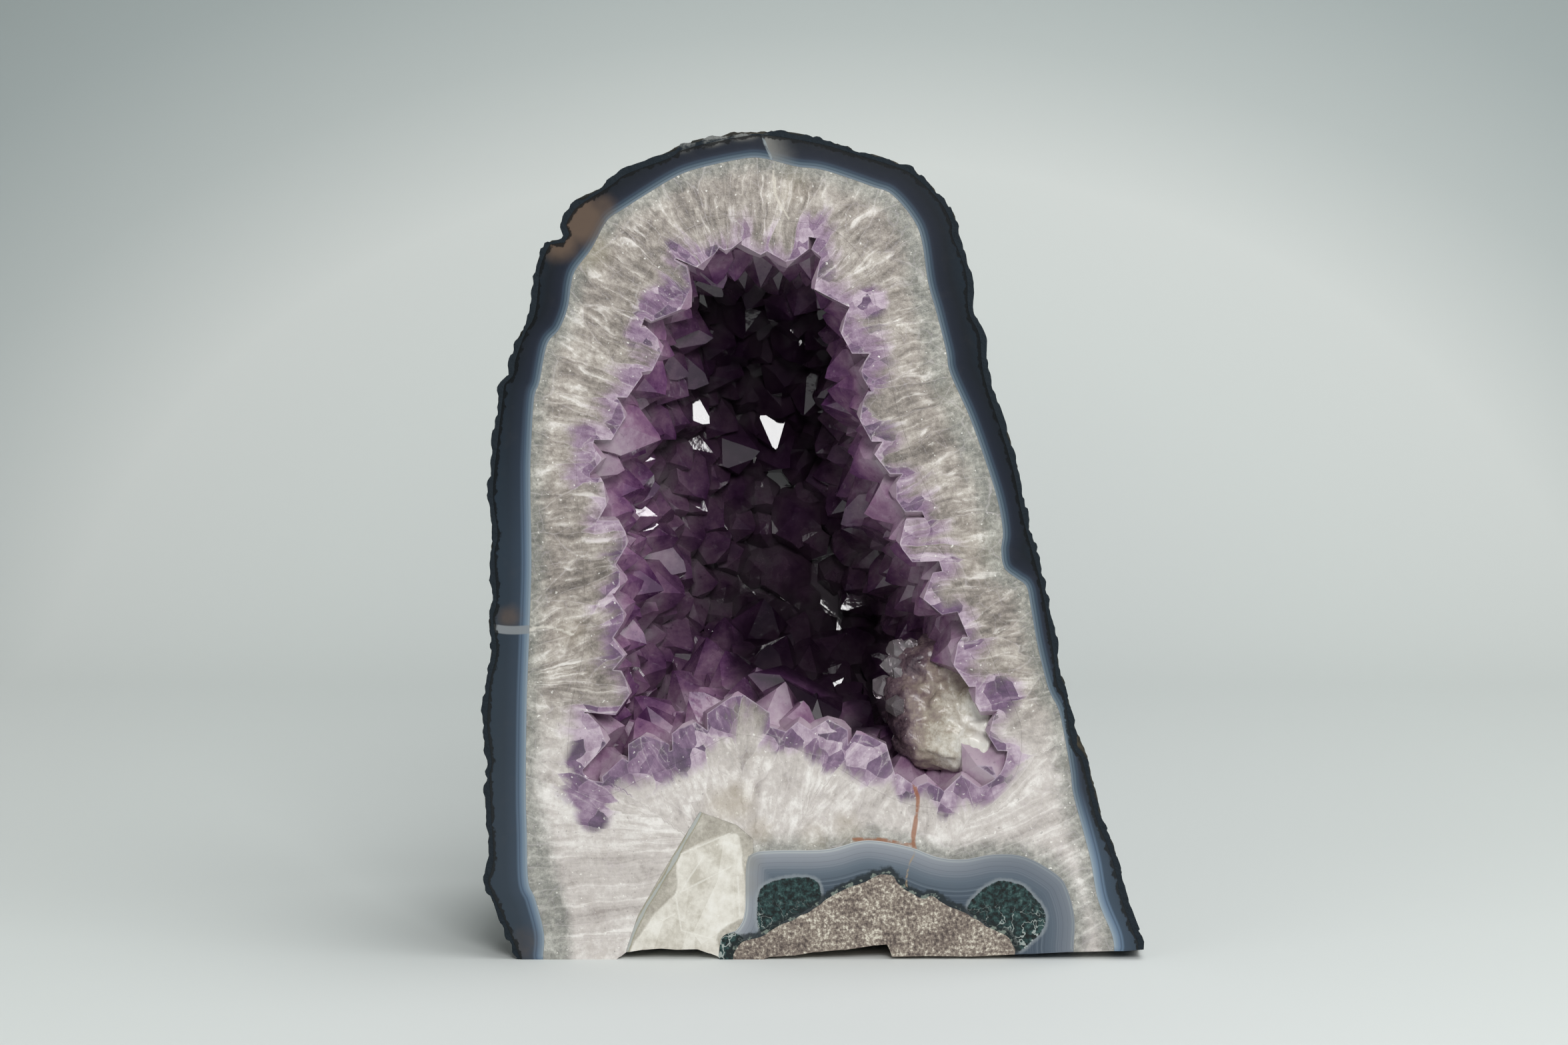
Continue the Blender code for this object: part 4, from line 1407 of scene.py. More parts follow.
@dataclass(frozen=True)
class PaperSweep:
    """Matt grey studio paper, with painted shade: darker and greener up the wall and to its ends, where
    the light falls off.
    """

    name: str = "matt studio paper"
    centre: tuple[float, float, float] = (0.02, 0.5, 0.03)
    spread: tuple[float, float, float] = (0.9, 0.0, 1.5)
    roughness: float = 0.8
    specular: float = 0.1

    def build(self) -> bpy.types.Material:
        """Make the material.

        Returns:
            The material.
        """
        coat = Coat(self.name)
        away = coat.place
        for operation, other in (("SUBTRACT", self.centre), ("MULTIPLY", self.spread)):
            away = node(coat.tree, "ShaderNodeVectorMath", {0: away, 1: other}, operation=operation)
        far = node(coat.tree, "ShaderNodeVectorMath", {0: away}, operation="LENGTH").outputs[1]
        # Painted shade: the paper darkens and greens away from the middle, as the light falls off up the
        # wall and to the ends
        tone = node(coat.tree, "ShaderNodeValToRGB", {0: far}, stops=[
            (0.0, "#d6dad9"), (0.3, "#dde2df"), (0.45, "#dfe3e0"), (0.6, "#c4cbc9"), (0.75, "#b0b9b8"),
            (1.0, "#99a3a2"),
        ])
        return coat.finished({
            "Base Color": tone, "Roughness": self.roughness, "Specular IOR Level": self.specular,
        })


@dataclass(frozen=True)
class Shape:
    """Points and faces of a closed shape, before it becomes a mesh."""

    points: list[Vector]
    faces: Faces

    def moved(self, matrix: Matrix) -> "Shape":
        """The shape after a move, a turn or a change of size."""
        return Shape([matrix @ point for point in self.points], self.faces)

    def mesh(self, name: str) -> bpy.types.Mesh:
        """The shape as a mesh, with its points read as millimetres."""
        return mesh_from(name, self.points, self.faces)


def from_planes(planes: Iterable[tuple[Vector, float]], size: float) -> Shape:
    """The convex body inside a set of planes.

    Args:
        planes: Each plane's outward direction and its distance from the origin.
        size: The side of the block that is cut.

    Returns:
        The body's points and faces.
    """
    work = bmesh.new()
    bmesh.ops.create_cube(work, size=size)
    for direction, distance in planes:
        outward = direction.normalized()
        cut = bmesh.ops.bisect_plane(
            work, geom=[*work.verts, *work.edges, *work.faces], dist=1e-5,
            plane_co=outward * distance, plane_no=outward, clear_outer=True,
        )
        rim = [item for item in cut["geom_cut"] if isinstance(item, bmesh.types.BMEdge)]
        if len(rim) > 2:
            bmesh.ops.contextual_create(work, geom=rim)
    bmesh.ops.remove_doubles(work, verts=work.verts, dist=1e-4)
    bmesh.ops.recalc_face_normals(work, faces=work.faces)
    work.verts.index_update()
    found = Shape(
        [corner.co.copy() for corner in work.verts],
        [tuple(corner.index for corner in face.verts) for face in work.faces],
    )
    work.free()
    return found


# Angle between a quartz crystal's axis and the outward direction of a face of its point
POINT_ANGLE = math.radians(51.8)
# How a crystal's sides differ, as shares of its half width, and how far the faces of its point
# stand off, by turns little and more, in widths
SIDE_SPREAD = (0.86, 1.14)
POINT_LATE = ((0.0, 0.05), (0.02, 0.13))
# The side of the block that a crystal is cut from, in widths
QUARTZ_BLOCK = 6.0


def quartz_shape(
    dice: random.Random, height: float, root: float = 1.1, point: float = POINT_ANGLE
) -> Shape:
    """A six-sided quartz crystal, one unit wide, with a six-faced point of uneven faces.

    Args:
        dice: The source of its small differences.
        height: How high its point stands over the origin, in widths.
        root: How far it reaches below the origin, in widths.
        point: The angle between its axis and the outward direction of a face of its point.

    Returns:
        The crystal, its axis along Z.
    """
    planes = [(Vector((0, 0, -1)), root)]
    for side in range(6):
        angle = side * math.pi / 3
        outward = Vector((math.cos(angle), math.sin(angle), 0.0))
        planes.append((outward, 0.5 * dice.uniform(*SIDE_SPREAD)))
        upward = outward * math.sin(point) + Vector((0, 0, math.cos(point)))
        planes.append((upward, height * math.cos(point) + dice.uniform(*POINT_LATE[side % 2])))
    return from_planes(planes, QUARTZ_BLOCK)


@dataclass(frozen=True)
class Layers:
    """The nested domes that the geode grew in, from the rind to the bowl of the hollow."""

    step: float = 2.0
    rind_step: float = 1.3
    rind_rings: int = 72
    inner_rings: int = 26
    tongue_notch: float = 1.1
    tongue_notch_width: float = 3.4

    def outer(self) -> Dome:
        """The outside of the rind."""
        outline = to_base(OUTER_EDGE, self.rind_step)
        return Dome(outline, GEODE_HUB, GEODE_DEPTH, SHELL_FULLNESS, self.rind_rings)

    def lining(self) -> Dome:
        """The outside of the quartz."""
        outline = to_base(AGATE_EDGE, self.step)
        return Dome(outline, GEODE_HUB, AGATE_INNER_DEPTH, SHELL_FULLNESS, self.inner_rings)

    def hood(self) -> Dome:
        """The outside of the agate hood over the tongue."""
        outline = to_base(HOOD_EDGE, self.step)
        return Dome(outline, HOOD_HUB, HOOD_DEPTH, SHELL_FULLNESS, self.inner_rings)

    def tongue(self) -> Dome:
        """The outside of the basalt tongue."""
        smooth = to_base(TONGUE_EDGE, self.step / 2)
        outline = ragged(smooth, self.tongue_notch, self.tongue_notch_width)
        return Dome(outline, TONGUE_HUB, TONGUE_DEPTH, BOWL_FULLNESS, self.inner_rings)

    def bowl(self) -> Dome:
        """The outside of the amethyst crust."""
        outline = spaced(BOWL_EDGE, True, self.step)
        return Dome(outline, BOWL_HUB, BOWL_DEPTH, BOWL_FULLNESS, self.inner_rings)


def solid(name: str, dome: Dome, overrun: float = OVERRUN) -> bpy.types.Mesh:
    """A dome as a closed mesh."""
    return mesh_from(name, *dome.shape(overrun))


def room(dome: Dome, clearance: float = JOINT) -> tuple[Cut, bpy.types.Mesh]:
    """The cut that makes room for a dome, larger than it all round by a clearance."""
    return Cut.REMOVE, solid("room", dome.grown(clearance), CUTTER_OVERRUN)


def trimmed(lowest: float = 0.0) -> list[tuple[Cut, bpy.types.Mesh]]:
    """The cuts that saw a piece flat in front and below, and chip the front of its base."""
    return [(Cut.KEEP, stock_mesh(lowest)), (Cut.REMOVE, chips_mesh())]


def surface_of(mesh: bpy.types.Mesh) -> BVHTree:
    """The mesh's surface, to measure from or to shoot rays at.

    Args:
        mesh: The mesh.

    Returns:
        The surface, in millimetres.
    """
    points = [Vector(point) for point in points_of(mesh)]
    return BVHTree.FromPolygons(points, [tuple(face.vertices) for face in mesh.polygons])


def stood(place: Vector, heading: Vector) -> Matrix:
    """The move that stands a shape at a place, with its Z axis along a heading."""
    return Matrix.Translation(place) @ heading.to_track_quat("Z", "Y").to_matrix().to_4x4()


def on_face(mesh: bpy.types.Mesh) -> np.ndarray:
    """Tell which faces of the mesh lie in the sawn face.

    Args:
        mesh: The mesh.

    Returns:
        A row of booleans.
    """
    flat = np.abs(points_of(mesh)[:, 1] - FACE_Y) < FLATNESS
    return np.array([all(flat[index] for index in face.vertices) for face in mesh.polygons])


def dressed(
    name: str, mesh: bpy.types.Mesh, materials: Sequence[bpy.types.Material],
    smooth: np.ndarray | None = None,
) -> bpy.types.Object:
    """Make the object that stands for a node, and report it.

    Args:
        name: The node's name.
        mesh: The finished mesh.
        materials: The materials, in the order of the mesh's material numbers.
        smooth: Which faces are shaded smooth; without it, all but those in the sawn face.

    Returns:
        The object.
    """
    smooth = ~on_face(mesh) if smooth is None else smooth
    mesh.polygons.foreach_set("use_smooth", np.ascontiguousarray(smooth, bool))
    numbers = np.zeros(len(mesh.polygons), np.int32)
    mesh.polygons.foreach_get("material_index", numbers)
    mesh.materials.clear()
    for material in materials:
        mesh.materials.append(material)
    mesh.polygons.foreach_set("material_index", np.minimum(numbers, len(materials) - 1))
    piece = linked(f"{name}_dressed", mesh)
    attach(piece, "root")
    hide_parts(name)
    LOG.info("%s: %d faces, %d points", piece.name, len(mesh.polygons), len(mesh.vertices))
    return piece


@dataclass
class BasaltRind:
    """The thin, dark, rough skin of host rock over the whole outside."""

    layers: Layers
    thickness: float = RIND_THICKNESS
    relief: float = 2.3
    worn: float = 0.38
    lump: tuple[float, float] = (8.0, 0.8)
    crumb: tuple[float, float] = (2.8, 0.75)
    heart_height: float = 90.0
    calm: tuple[float, float] = (0.2, 80.0)
    sawn_depth: float = 0.05
    cut_fade: tuple[float, float] = (5.0, 0.0)
    pale_fade: tuple[float, float] = (7.8, 1.8)
    finish: RoughBasalt = field(default_factory=RoughBasalt)

    def roughened(self) -> bpy.types.Mesh:
        """The outside, worn inwards in lumps and crumbs, and never beyond the dome.

        Returns:
            The mesh, calmer near the hub, where the dome's rings lie close together.
        """
        points, faces = self.layers.outer().shape()
        hub = np.array([GEODE_HUB[0], 0.0, GEODE_HUB[1]])
        inwards = hub + (0.0, 0.0, self.heart_height) - points
        inwards /= np.linalg.norm(inwards, axis=1)[:, None]
        depth = np.empty(len(points))
        least, reached = self.calm
        for index, point in enumerate(points):
            wear = self.worn
            for size, share in (self.lump, self.crumb):
                wear += share * noise.noise(Vector(point) / size)
            calm = min(least + math.hypot(point[0] - hub[0], point[2] - hub[2]) / reached, 1.0)
            depth[index] = min(max(wear, 0.0), 1.0) * self.relief * calm
        return mesh_from("rind", points + inwards * depth[:, None], faces)

    def build(self) -> bpy.types.Object:
        """Make the rind.

        Returns:
            The piece, which keeps how near the sawn edge each point is.
        """
        under = room(self.layers.outer(), JOINT - self.thickness)
        mesh = carved(self.roughened(), [under, *trimmed(RIND_LIFT)])
        points = points_of(mesh)
        back = points[:, 1] - FACE_Y
        store(
            mesh, cut=fade(back, *self.cut_fade), sawn=back < self.sawn_depth,
            pale=clouds(points[:, [0, 2]], CHIPPED_PATCHES) * fade(back, *self.pale_fade),
        )
        return dressed("basalt_rind", mesh, [self.finish.build()])


# Brownish clouds in the agate: x, z, radius and strength
BROWN_PATCHES: Rows = (
    (-84, 268, 9, 1.0), (-91, 261, 7, 1.0), (-76, 272, 5, 0.6), (-110, 125, 4, 0.5), (-105, 6, 6, 0.3),
)
# Beige clouds in the quartz
BEIGE_PATCHES: Rows = (
    (-30, 57, 8, 1.0), (-20, 47, 5, 0.8), (0, 45, 5, 0.7), (12, 48, 6, 0.7), (-80, 257, 7, 1.0),
    (-88, 119, 5, 0.6), (-7, 279, 7, 0.6), (52, 205, 9, 0.4), (60, 150, 9, 0.3),
)
# Purple clouds in the quartz, low on the left, under the mound and in the largest cut crystals
PURPLE_PATCHES: Rows = (
    (-77, 74, 9, 0.9), (-80, 60, 6, 0.9), (-80, 50, 6, 0.8), (-81, 40, 5, 0.8), (-62, 68, 9, 0.6),
    (-45, 77, 8, 0.5), (-29, 84, 6, 0.35), (-8, 81, 7, 0.45), (4, 77, 8, 0.6), (19, 70, 8, 0.6),
    (34, 64, 6, 0.5), (47, 60, 8, 0.5), (60, 64, 7, 0.5), (-55, 240, 6, 0.55), (-63, 226, 6, 0.45),
    (-66, 200, 5, 0.35), (-35, 252, 5, 0.3), (22, 238, 5, 0.35), (70, 98, 6, 0.45),
)
# Pale broken spots on the crown's outer edge, and the hood's pinkish end
CHIPPED_PATCHES: Rows = ((-25, 301, 5, 1.0), (-36, 299, 5, 1.0), (-47, 296, 4, 0.8))
HOOD_PATCHES: Rows = ((-26, 28, 7, 0.6), (-25, 36, 6, 0.7))
# How far a cloud reaches, in its radii, before it is gone and until it is at its full strength
CLOUD_GONE = 1.5
CLOUD_FULL = 0.5


def clouds(spots: np.ndarray, rows: Rows) -> np.ndarray:
    """How strong soft round clouds are at each spot.

    Args:
        spots: The spots as x, z rows.
        rows: The clouds as x, z, radius and strength.

    Returns:
        One number for each spot, from nought to one.
    """
    found = np.zeros(len(spots))
    for x, z, radius, share in rows:
        gap = np.hypot(spots[:, 0] - x, spots[:, 1] - z) / radius
        found = np.maximum(found, share * fade(gap, CLOUD_GONE, CLOUD_FULL))
    return found


def read(mesh: bpy.types.Mesh, name: str) -> np.ndarray:
    """The numbers that the mesh's points keep under a name.

    Args:
        mesh: The mesh.
        name: The numbers' name.

    Returns:
        One number for each point.
    """
    found = np.empty(len(mesh.vertices), np.float32)
    mesh.attributes[name].data.foreach_get("value", found)
    return found.astype(float)


@dataclass
class AgateShell:
    """The banded agate inside the rind, and its hood over the basalt tongue.

    Each pair of numbers says where a change of colour starts and where it is complete: to brighter
    bands on the right low down, to a painted reflection that lightens the bands on the left, to dusk
    along the hood, and to a pale broken crown.
    """

    layers: Layers
    plan: Plan
    grid: float = 0.9
    hood_margin: float = 0.3
    hood_far: float = 1.4
    right: tuple[float, float] = (72.0, 98.0)
    right_below: tuple[float, float] = (75.0, 30.0)
    left: tuple[float, float] = (-78.0, -92.0)
    left_below: tuple[float, float] = (240.0, 150.0)
    left_share: tuple[float, float] = (0.58, 0.1)
    dusk: tuple[float, float] = (25.0, 80.0)
    crown: tuple[float, float] = (11.7, -1.3)
    crown_above: tuple[float, float] = (283.0, 291.0)
    chipped: tuple[float, float] = (3.0, 1.0)
    finish: SawnAgate = field(default_factory=SawnAgate)

    def build(self) -> bpy.types.Object:
        """Make the agate.

        Returns:
            The piece.
        """
        layers = self.layers
        mesh = carved(solid("shell", layers.outer().grown(-RIND_THICKNESS)), [
            room(layers.lining()), (Cut.JOIN, solid("hood", layers.hood())), room(layers.tongue()),
            *trimmed(),
        ])
        with_fine_face(mesh, self.grid)
        self.measure(mesh)
        return dressed("agate_shell", mesh, [self.finish.build()])

    def measure(self, mesh: bpy.types.Mesh) -> None:
        """Keep the numbers that the finish reads, with the bands measured from the edges of the quartz.

        Args:
            mesh: The mesh, changed in place.
        """
        spots = self.plan.measure(mesh)
        x, z = spots.T
        hooded = inside(spots, moved_out(to_base(HOOD_EDGE, self.plan.coarse), self.hood_margin))
        inner, outer, hood, tongue = (read(mesh, name) for name in ("inner", "outer", "hood", "tongue"))
        skin = np.where(hooded, tongue, outer - RIND_THICKNESS)
        low = fade(z, *self.right_below)
        least, more = self.left_share
        # Painted reflection: the bands on the left are lightened as by the lamps' reflection on the
        # polish
        left = fade(x, *self.left) * fade(z, *self.left_below) * (least + more * low)
        seam = np.array(CROWN_SEAM)[::-1]
        past = x - np.interp(z, seam[:, 1], seam[:, 0])
        crown = np.where(past > 0.0, fade(past, *self.crown), 0.0) * fade(z, *self.crown_above)
        chipped = clouds(spots, CHIPPED_PATCHES) * fade(skin, *self.chipped)
        store(
            mesh, hooded=hooded, skin=skin,
            band=np.where(hooded, hood, inner), far=np.where(hooded, self.hood_far, inner),
            light=np.maximum(fade(x, *self.right) * low, left), dusk=hooded * fade(x, *self.dusk),
            brown=clouds(spots, BROWN_PATCHES),
            pale=np.maximum.reduce([crown, chipped, clouds(spots, HOOD_PATCHES)]),
        )


# Where the grey quartz by the agate is wider, high on the right and in the low left corner: by how
# much, and between which x and between which z the widening grows to that
GREY_WIDER: tuple[tuple[float, tuple[float, float], tuple[float, float]], ...] = (
    (3.5, (15.0, 40.0), (120.0, 160.0)), (9.0, (-80.0, -94.0), (60.0, 20.0)),
)
# The heights between which the smoky quartz turns milky
MILKY_BELOW = (105.0, 65.0)


def measure_quartz(mesh: bpy.types.Mesh, plan: Plan, teeth: np.ndarray) -> None:
    """Keep on each point of the quartz what its finish reads: edge, purple, milk, stain and tip.

    Args:
        mesh: The mesh, changed in place.
        plan: The lines of the sawn face.
        teeth: Places along the crust's toothed edge on the sawn face, as x, z rows.
    """
    spots = plan.measure(mesh)
    x, z = spots.T
    inner = read(mesh, "inner")
    for wider, across, upwards in GREY_WIDER:
        inner -= wider * fade(x, *across) * fade(z, *upwards)
    tree = tree_of(teeth)
    store(
        mesh, edge=np.minimum(inner, read(mesh, "hood")),
        purple=clouds(spots, PURPLE_PATCHES), milk=fade(z, *MILKY_BELOW),
        stain=clouds(spots, BEIGE_PATCHES),
        tip=np.array([tree.find((spot[0], 0.0, spot[1]))[2] for spot in spots]),
    )


@dataclass
class QuartzLining:
    """The milky quartz between the agate and the amethyst."""

    layers: Layers
    plan: Plan
    teeth: np.ndarray
    grid: float = 1.0
    block_clearance: float = 0.4
    finish: SawnQuartz = field(default_factory=SawnQuartz)

    def build(self) -> bpy.types.Object:
        """Make the quartz, with room for the hood, the crust and the calcite block.

        Returns:
            The piece.
        """
        layers = self.layers
        around = moved_out(np.array(BLOCK_EDGE), JOINT)
        block = prism_mesh("block_room", around, -CUTTER_OVERRUN, BLOCK_DEPTH + self.block_clearance)
        mesh = carved(solid("lining", layers.lining()), [
            room(layers.hood()), room(layers.bowl(), 0.0), (Cut.REMOVE, block), *trimmed(),
        ])
        with_fine_face(mesh, self.grid)
        measure_quartz(mesh, self.plan, self.teeth)
        return dressed("quartz_lining", mesh, [self.finish.build()])


@dataclass
class BasaltTongue:
    """The speckled host rock in the base, under the agate hood."""

    layers: Layers
    plan: Plan
    grid: float = 1.2
    finish: SawnBasalt = field(default_factory=SawnBasalt)

    def build(self) -> bpy.types.Object:
        """Make the tongue.

        Returns:
            The piece.
        """
        mesh = carved(solid("tongue", self.layers.tongue()), trimmed())
        with_fine_face(mesh, self.grid)
        self.plan.measure(mesh)
        return dressed("basalt_tongue", mesh, [self.finish.build()])


@dataclass
class CalciteBlock:
    """The cream, cleaved crystal at the lower left of the sawn face."""

    layers: Layers
    plan: Plan
    grid: float = 0.6
    finish: CreamCalcite = field(default_factory=CreamCalcite)

    def build(self) -> bpy.types.Object:
        """Make the block.

        Returns:
            The piece.
        """
        block = prism_mesh("block", np.array(BLOCK_EDGE, float), -OVERRUN, BLOCK_DEPTH)
        mesh = carved(block, [room(self.layers.hood()), *trimmed()])
        with_fine_face(mesh, self.grid)
        spots = self.plan.measure(mesh)
        lines = [spaced(line, False, self.plan.spacing) for line in CLEAVAGE]
        store(
            mesh, cream=inward(spots, spaced(CREAM_EDGE, True, self.plan.spacing)),
            cleave=np.minimum.reduce([reach(spots, line, False).distance for line in lines]),
        )
        flat = np.zeros(len(mesh.polygons), bool)
        return dressed("calcite_block", mesh, [self.finish.build()], flat)


# Camera and front light, in millimetres: the facets that flash in the photograph face between them
CAMERA_TARGET = Vector((-10.8, FACE_Y, 159.1))
CAMERA_DISTANCE = 1333.0
CAMERA_PITCH = math.radians(4.0)
CAMERA_AWAY = Vector((0.0, -math.cos(CAMERA_PITCH), math.sin(CAMERA_PITCH)))
CAMERA_PLACE = CAMERA_TARGET + CAMERA_DISTANCE * CAMERA_AWAY
FRONT_PLACE = Vector((190.0, -1500.0, 860.0))

# Crystals with a flashing face: where it shows, as x and z on the sawn face, and the crystal's width
FLASHING: Rows = (
    (-43.0, 199.7, 17), (-14.6, 192.5, 17), (7.0, 176.9, 10), (26.2, 162.0, 22), (-62.6, 158.9, 16),
    (14.2, 131.3, 14), (-45.1, 109.7, 11),
)


@dataclass
class AmethystCrust:
    """The crystals that line the hollow, grown together in one crust.

    Most crystals stand on the wall by a rule. Those that the saw cut along the rim, those that flash
    and the one that lies behind the mound have places of their own. Lengths are in millimetres, and
    heights and roots in widths of the crystal.
    """

    layers: Layers
    plan: Plan
    # The layer that all grow from, and those on the wall behind the front
    layer: float = 5.0
    spacing: float = 10.2
    widths: tuple[float, float] = (12.5, 21.5)
    tilt: float = math.radians(19)
    front: float = 9.0
    densest: float = 60000.0
    kinds: int = 9
    heights: tuple[float, float] = (0.5, 0.95)
    # Those that the saw cut along the rim
    rim_length: float = 27.0
    rim_back: tuple[float, float] = (1.0, 3.4)
    rim_lean: tuple[float, float] = (-0.06, 0.02)
    rim_point: tuple[float, float] = (math.radians(28), math.radians(44))
    rim_share: float = 1.16
    # The one that lies behind the mound: its tip and its root as x, back, z, its width, and how much of
    # the painted shade falls on it
    lying_tip: tuple[float, float, float] = (-24.0, 26.0, 101.0)
    lying_root: tuple[float, float, float] = (6.0, 31.0, 84.0)
    lying_width: float = 17.0
    lying_share: float = 0.55
    # Those that flash: their size, their middle, their lift off the wall, and the rim to look past
    flash_height: float = 0.9
    flash_root: float = 2.0
    flash_middle: tuple[float, float, float] = (0.3, 0.0, 0.62)
    flash_lift: float = 0.75
    flash_skip: float = 4.0
    # Where the painted shade starts and where it is complete: up the wall, into the depth, how much
    # nearer that comes high up, and around the pocket behind the mound
    high: tuple[float, float] = (165.0, 225.0)
    deep: tuple[float, float] = (36.0, 118.0)
    deep_high: tuple[float, float] = (18.0, 54.0)
    pocket_left: tuple[float, float] = (-36.0, -28.0)
    pocket_right: tuple[float, float] = (32.0, 24.0)
    pocket_below: tuple[float, float] = (132.0, 122.0)
    pocket_behind: tuple[float, float] = (8.0, 16.0)
    # How near to the bowl's wall a root is, and the grid of the sawn face
    grown_within: float = 0.05
    grid: float = 0.8
    cap: SawnQuartz = field(default_factory=SawnQuartz)
    faces: AmethystCrystal = field(default_factory=AmethystCrystal)
    root: GrownQuartz = field(default_factory=GrownQuartz)
    teeth: np.ndarray = field(default_factory=lambda: np.zeros((0, 2)))

    def rim_shapes(self, dice: random.Random) -> list[Shape]:
        """The crystals that the saw cut along the rim, and the one that lies behind the mound.

        Args:
            dice: The source of their small differences.

        Returns:
            The crystals.
        """
        found = []
        for x, z, degrees, width in RIM_CRYSTALS:
            angle = math.radians(degrees)
            heading = Vector((math.cos(angle), dice.uniform(*self.rim_lean), math.sin(angle)))
            tip = Vector((x, FACE_Y + dice.uniform(*self.rim_back), z))
            wide, point = width * self.rim_share, dice.uniform(*self.rim_point)
            found.append(self.pointing(dice, tip, heading, wide, self.rim_length, point))
        tip, root = (
            Vector((x, FACE_Y + back, z)) for x, back, z in (self.lying_tip, self.lying_root)
        )
        found.append(self.pointing(dice, tip, tip - root, self.lying_width, (tip - root).length))
        return found

    def pointing(
        self, dice: random.Random, tip: Vector, heading: Vector, width: float, length: float,
        point: float = POINT_ANGLE,
    ) -> Shape:
        """One crystal with its tip at a place.

        Args:
            dice: The source of its small differences.
            tip: Where its tip is.
            heading: The way it points.
            width: Its width in millimetres.
            length: Its length from the root to the tip.
            point: The angle between its axis and the outward direction of a face of its point.

        Returns:
            The crystal.
        """
        shape = quartz_shape(dice, 0.0, length / width, point)
        roll = Matrix.Rotation(dice.uniform(0, math.pi / 3), 4, "Z")
        settle = Matrix.Translation((0, 0, -max(corner.z for corner in shape.points)))
        place = stood(tip, heading.normalized())
        return shape.moved(place @ roll @ Matrix.Scale(width, 4) @ settle)

    def flashing_shapes(self, dice: random.Random, wall: BVHTree) -> list[Shape]:
        """Crystals with one face turned to send the front light to the camera.

        Args:
            dice: The source of their small differences.
            wall: The hollow's wall.

        Returns:
            The crystals.
        """
        found = []
        for x, z, width in FLASHING:
            seen = Vector((x, FACE_Y, z))
            ray = (seen - CAMERA_PLACE).normalized()
            hit, normal, _, _ = wall.ray_cast(seen + ray * self.flash_skip, ray)
            if hit is None:
                continue
            inwards = -normal if normal.dot(ray) > 0 else normal
            spot = hit - ray * width * self.flash_lift
            outwards = (CAMERA_PLACE - spot).normalized() + (FRONT_PLACE - spot).normalized()
            outwards.normalize()
            shape = quartz_shape(dice, self.flash_height, self.flash_root)
            side = Vector((math.sin(POINT_ANGLE), 0.0, math.cos(POINT_ANGLE)))
            sideways = outwards.cross(inwards).normalized()
            target = Matrix((outwards, sideways, outwards.cross(sideways))).transposed()
            across = side.cross(Vector((0, 0, 1))).normalized()
            source = Matrix((side, across, side.cross(across))).transposed()
            place = Matrix.Translation(spot) @ (target @ source.transposed()).to_4x4()
            settle = Matrix.Translation(-Vector(self.flash_middle))
            found.append(shape.moved(place @ Matrix.Scale(width, 4) @ settle))
        return found

    def tree(self) -> tuple[bpy.types.NodeTree, dict[str, str]]:
        """Build the Geometry Nodes that scatter crystals over the hollow's wall and cut them out of it.

        Returns:
            The tree, and the identifier of each of its inputs by name.
        """
        tree = bpy.data.node_groups.new("crystal_lining", "GeometryNodeTree")
        face = tree.interface
        face.new_socket("Geometry", in_out="INPUT", socket_type="NodeSocketGeometry")
        kinds = {
            "Crystals": "NodeSocketCollection", "Rim": "NodeSocketCollection",
            "Spacing": "NodeSocketFloat", "Narrowest": "NodeSocketFloat", "Widest": "NodeSocketFloat",
            "Tilt": "NodeSocketFloat", "Front": "NodeSocketFloat", "Seed": "NodeSocketInt",
            "Finish": "NodeSocketMaterial",
        }
        names = {
            name: face.new_socket(name, in_out="INPUT", socket_type=kind).identifier
            for name, kind in kinds.items()
        }
        face.new_socket("Geometry", in_out="OUTPUT", socket_type="NodeSocketGeometry")
        given = node(tree, "NodeGroupInput").outputs
        height = node(tree, "ShaderNodeSeparateXYZ", {0: node(tree, "GeometryNodeInputPosition")})
        behind = node(tree, "FunctionNodeCompare", {
            "A": height.outputs["Y"], "B": given["Front"],
        }, operation="GREATER_THAN")
        seeds = node(tree, "GeometryNodeDistributePointsOnFaces", {
            "Mesh": given["Geometry"], "Selection": behind, "Distance Min": given["Spacing"],
            "Density Max": self.densest, "Seed": given["Seed"],
        }, distribute_method="POISSON")
        inwards = node(tree, "ShaderNodeVectorMath", {
            0: seeds.outputs["Normal"], "Scale": -1.0,
        }, operation="SCALE")
        upright = node(tree, "FunctionNodeAlignRotationToVector", {"Vector": inwards}, axis="Z")
        low = node(tree, "ShaderNodeMath", {0: given["Tilt"], 1: -1.0}, operation="MULTIPLY")
        turns = node(tree, "FunctionNodeRandomValue", {
            0: node(tree, "ShaderNodeCombineXYZ", {0: low, 1: low, 2: 0.0}),
            1: node(tree, "ShaderNodeCombineXYZ", {
                0: given["Tilt"], 1: given["Tilt"], 2: 2 * math.pi,
            }),
            "Seed": given["Seed"],
        }, data_type="FLOAT_VECTOR")
        tilted = node(tree, "FunctionNodeRotateRotation", {
            0: upright, 1: node(tree, "FunctionNodeEulerToRotation", {0: turns}),
        }, rotation_space="LOCAL")
        sizes = node(tree, "FunctionNodeRandomValue", {
            2: given["Narrowest"], 3: given["Widest"], "Seed": given["Seed"],
        }, data_type="FLOAT")
        crystals = node(tree, "GeometryNodeCollectionInfo", {
            0: given["Crystals"], "Separate Children": True, "Reset Children": True,
        })
        planted = node(tree, "GeometryNodeInstanceOnPoints", {
            "Points": seeds.outputs["Points"], "Instance": crystals, "Pick Instance": True,
            "Rotation": tilted, "Scale": sizes.outputs[1],
        })
        rim = node(tree, "GeometryNodeCollectionInfo", {0: given["Rim"], "Separate Children": True})
        cut = node(tree, "GeometryNodeMeshBoolean", {"Mesh 1": given["Geometry"]},
                   operation="DIFFERENCE", solver="MANIFOLD")
        for cutter in (planted, rim):
            tree.links.new(cutter.outputs[0], cut.inputs["Mesh 2"])
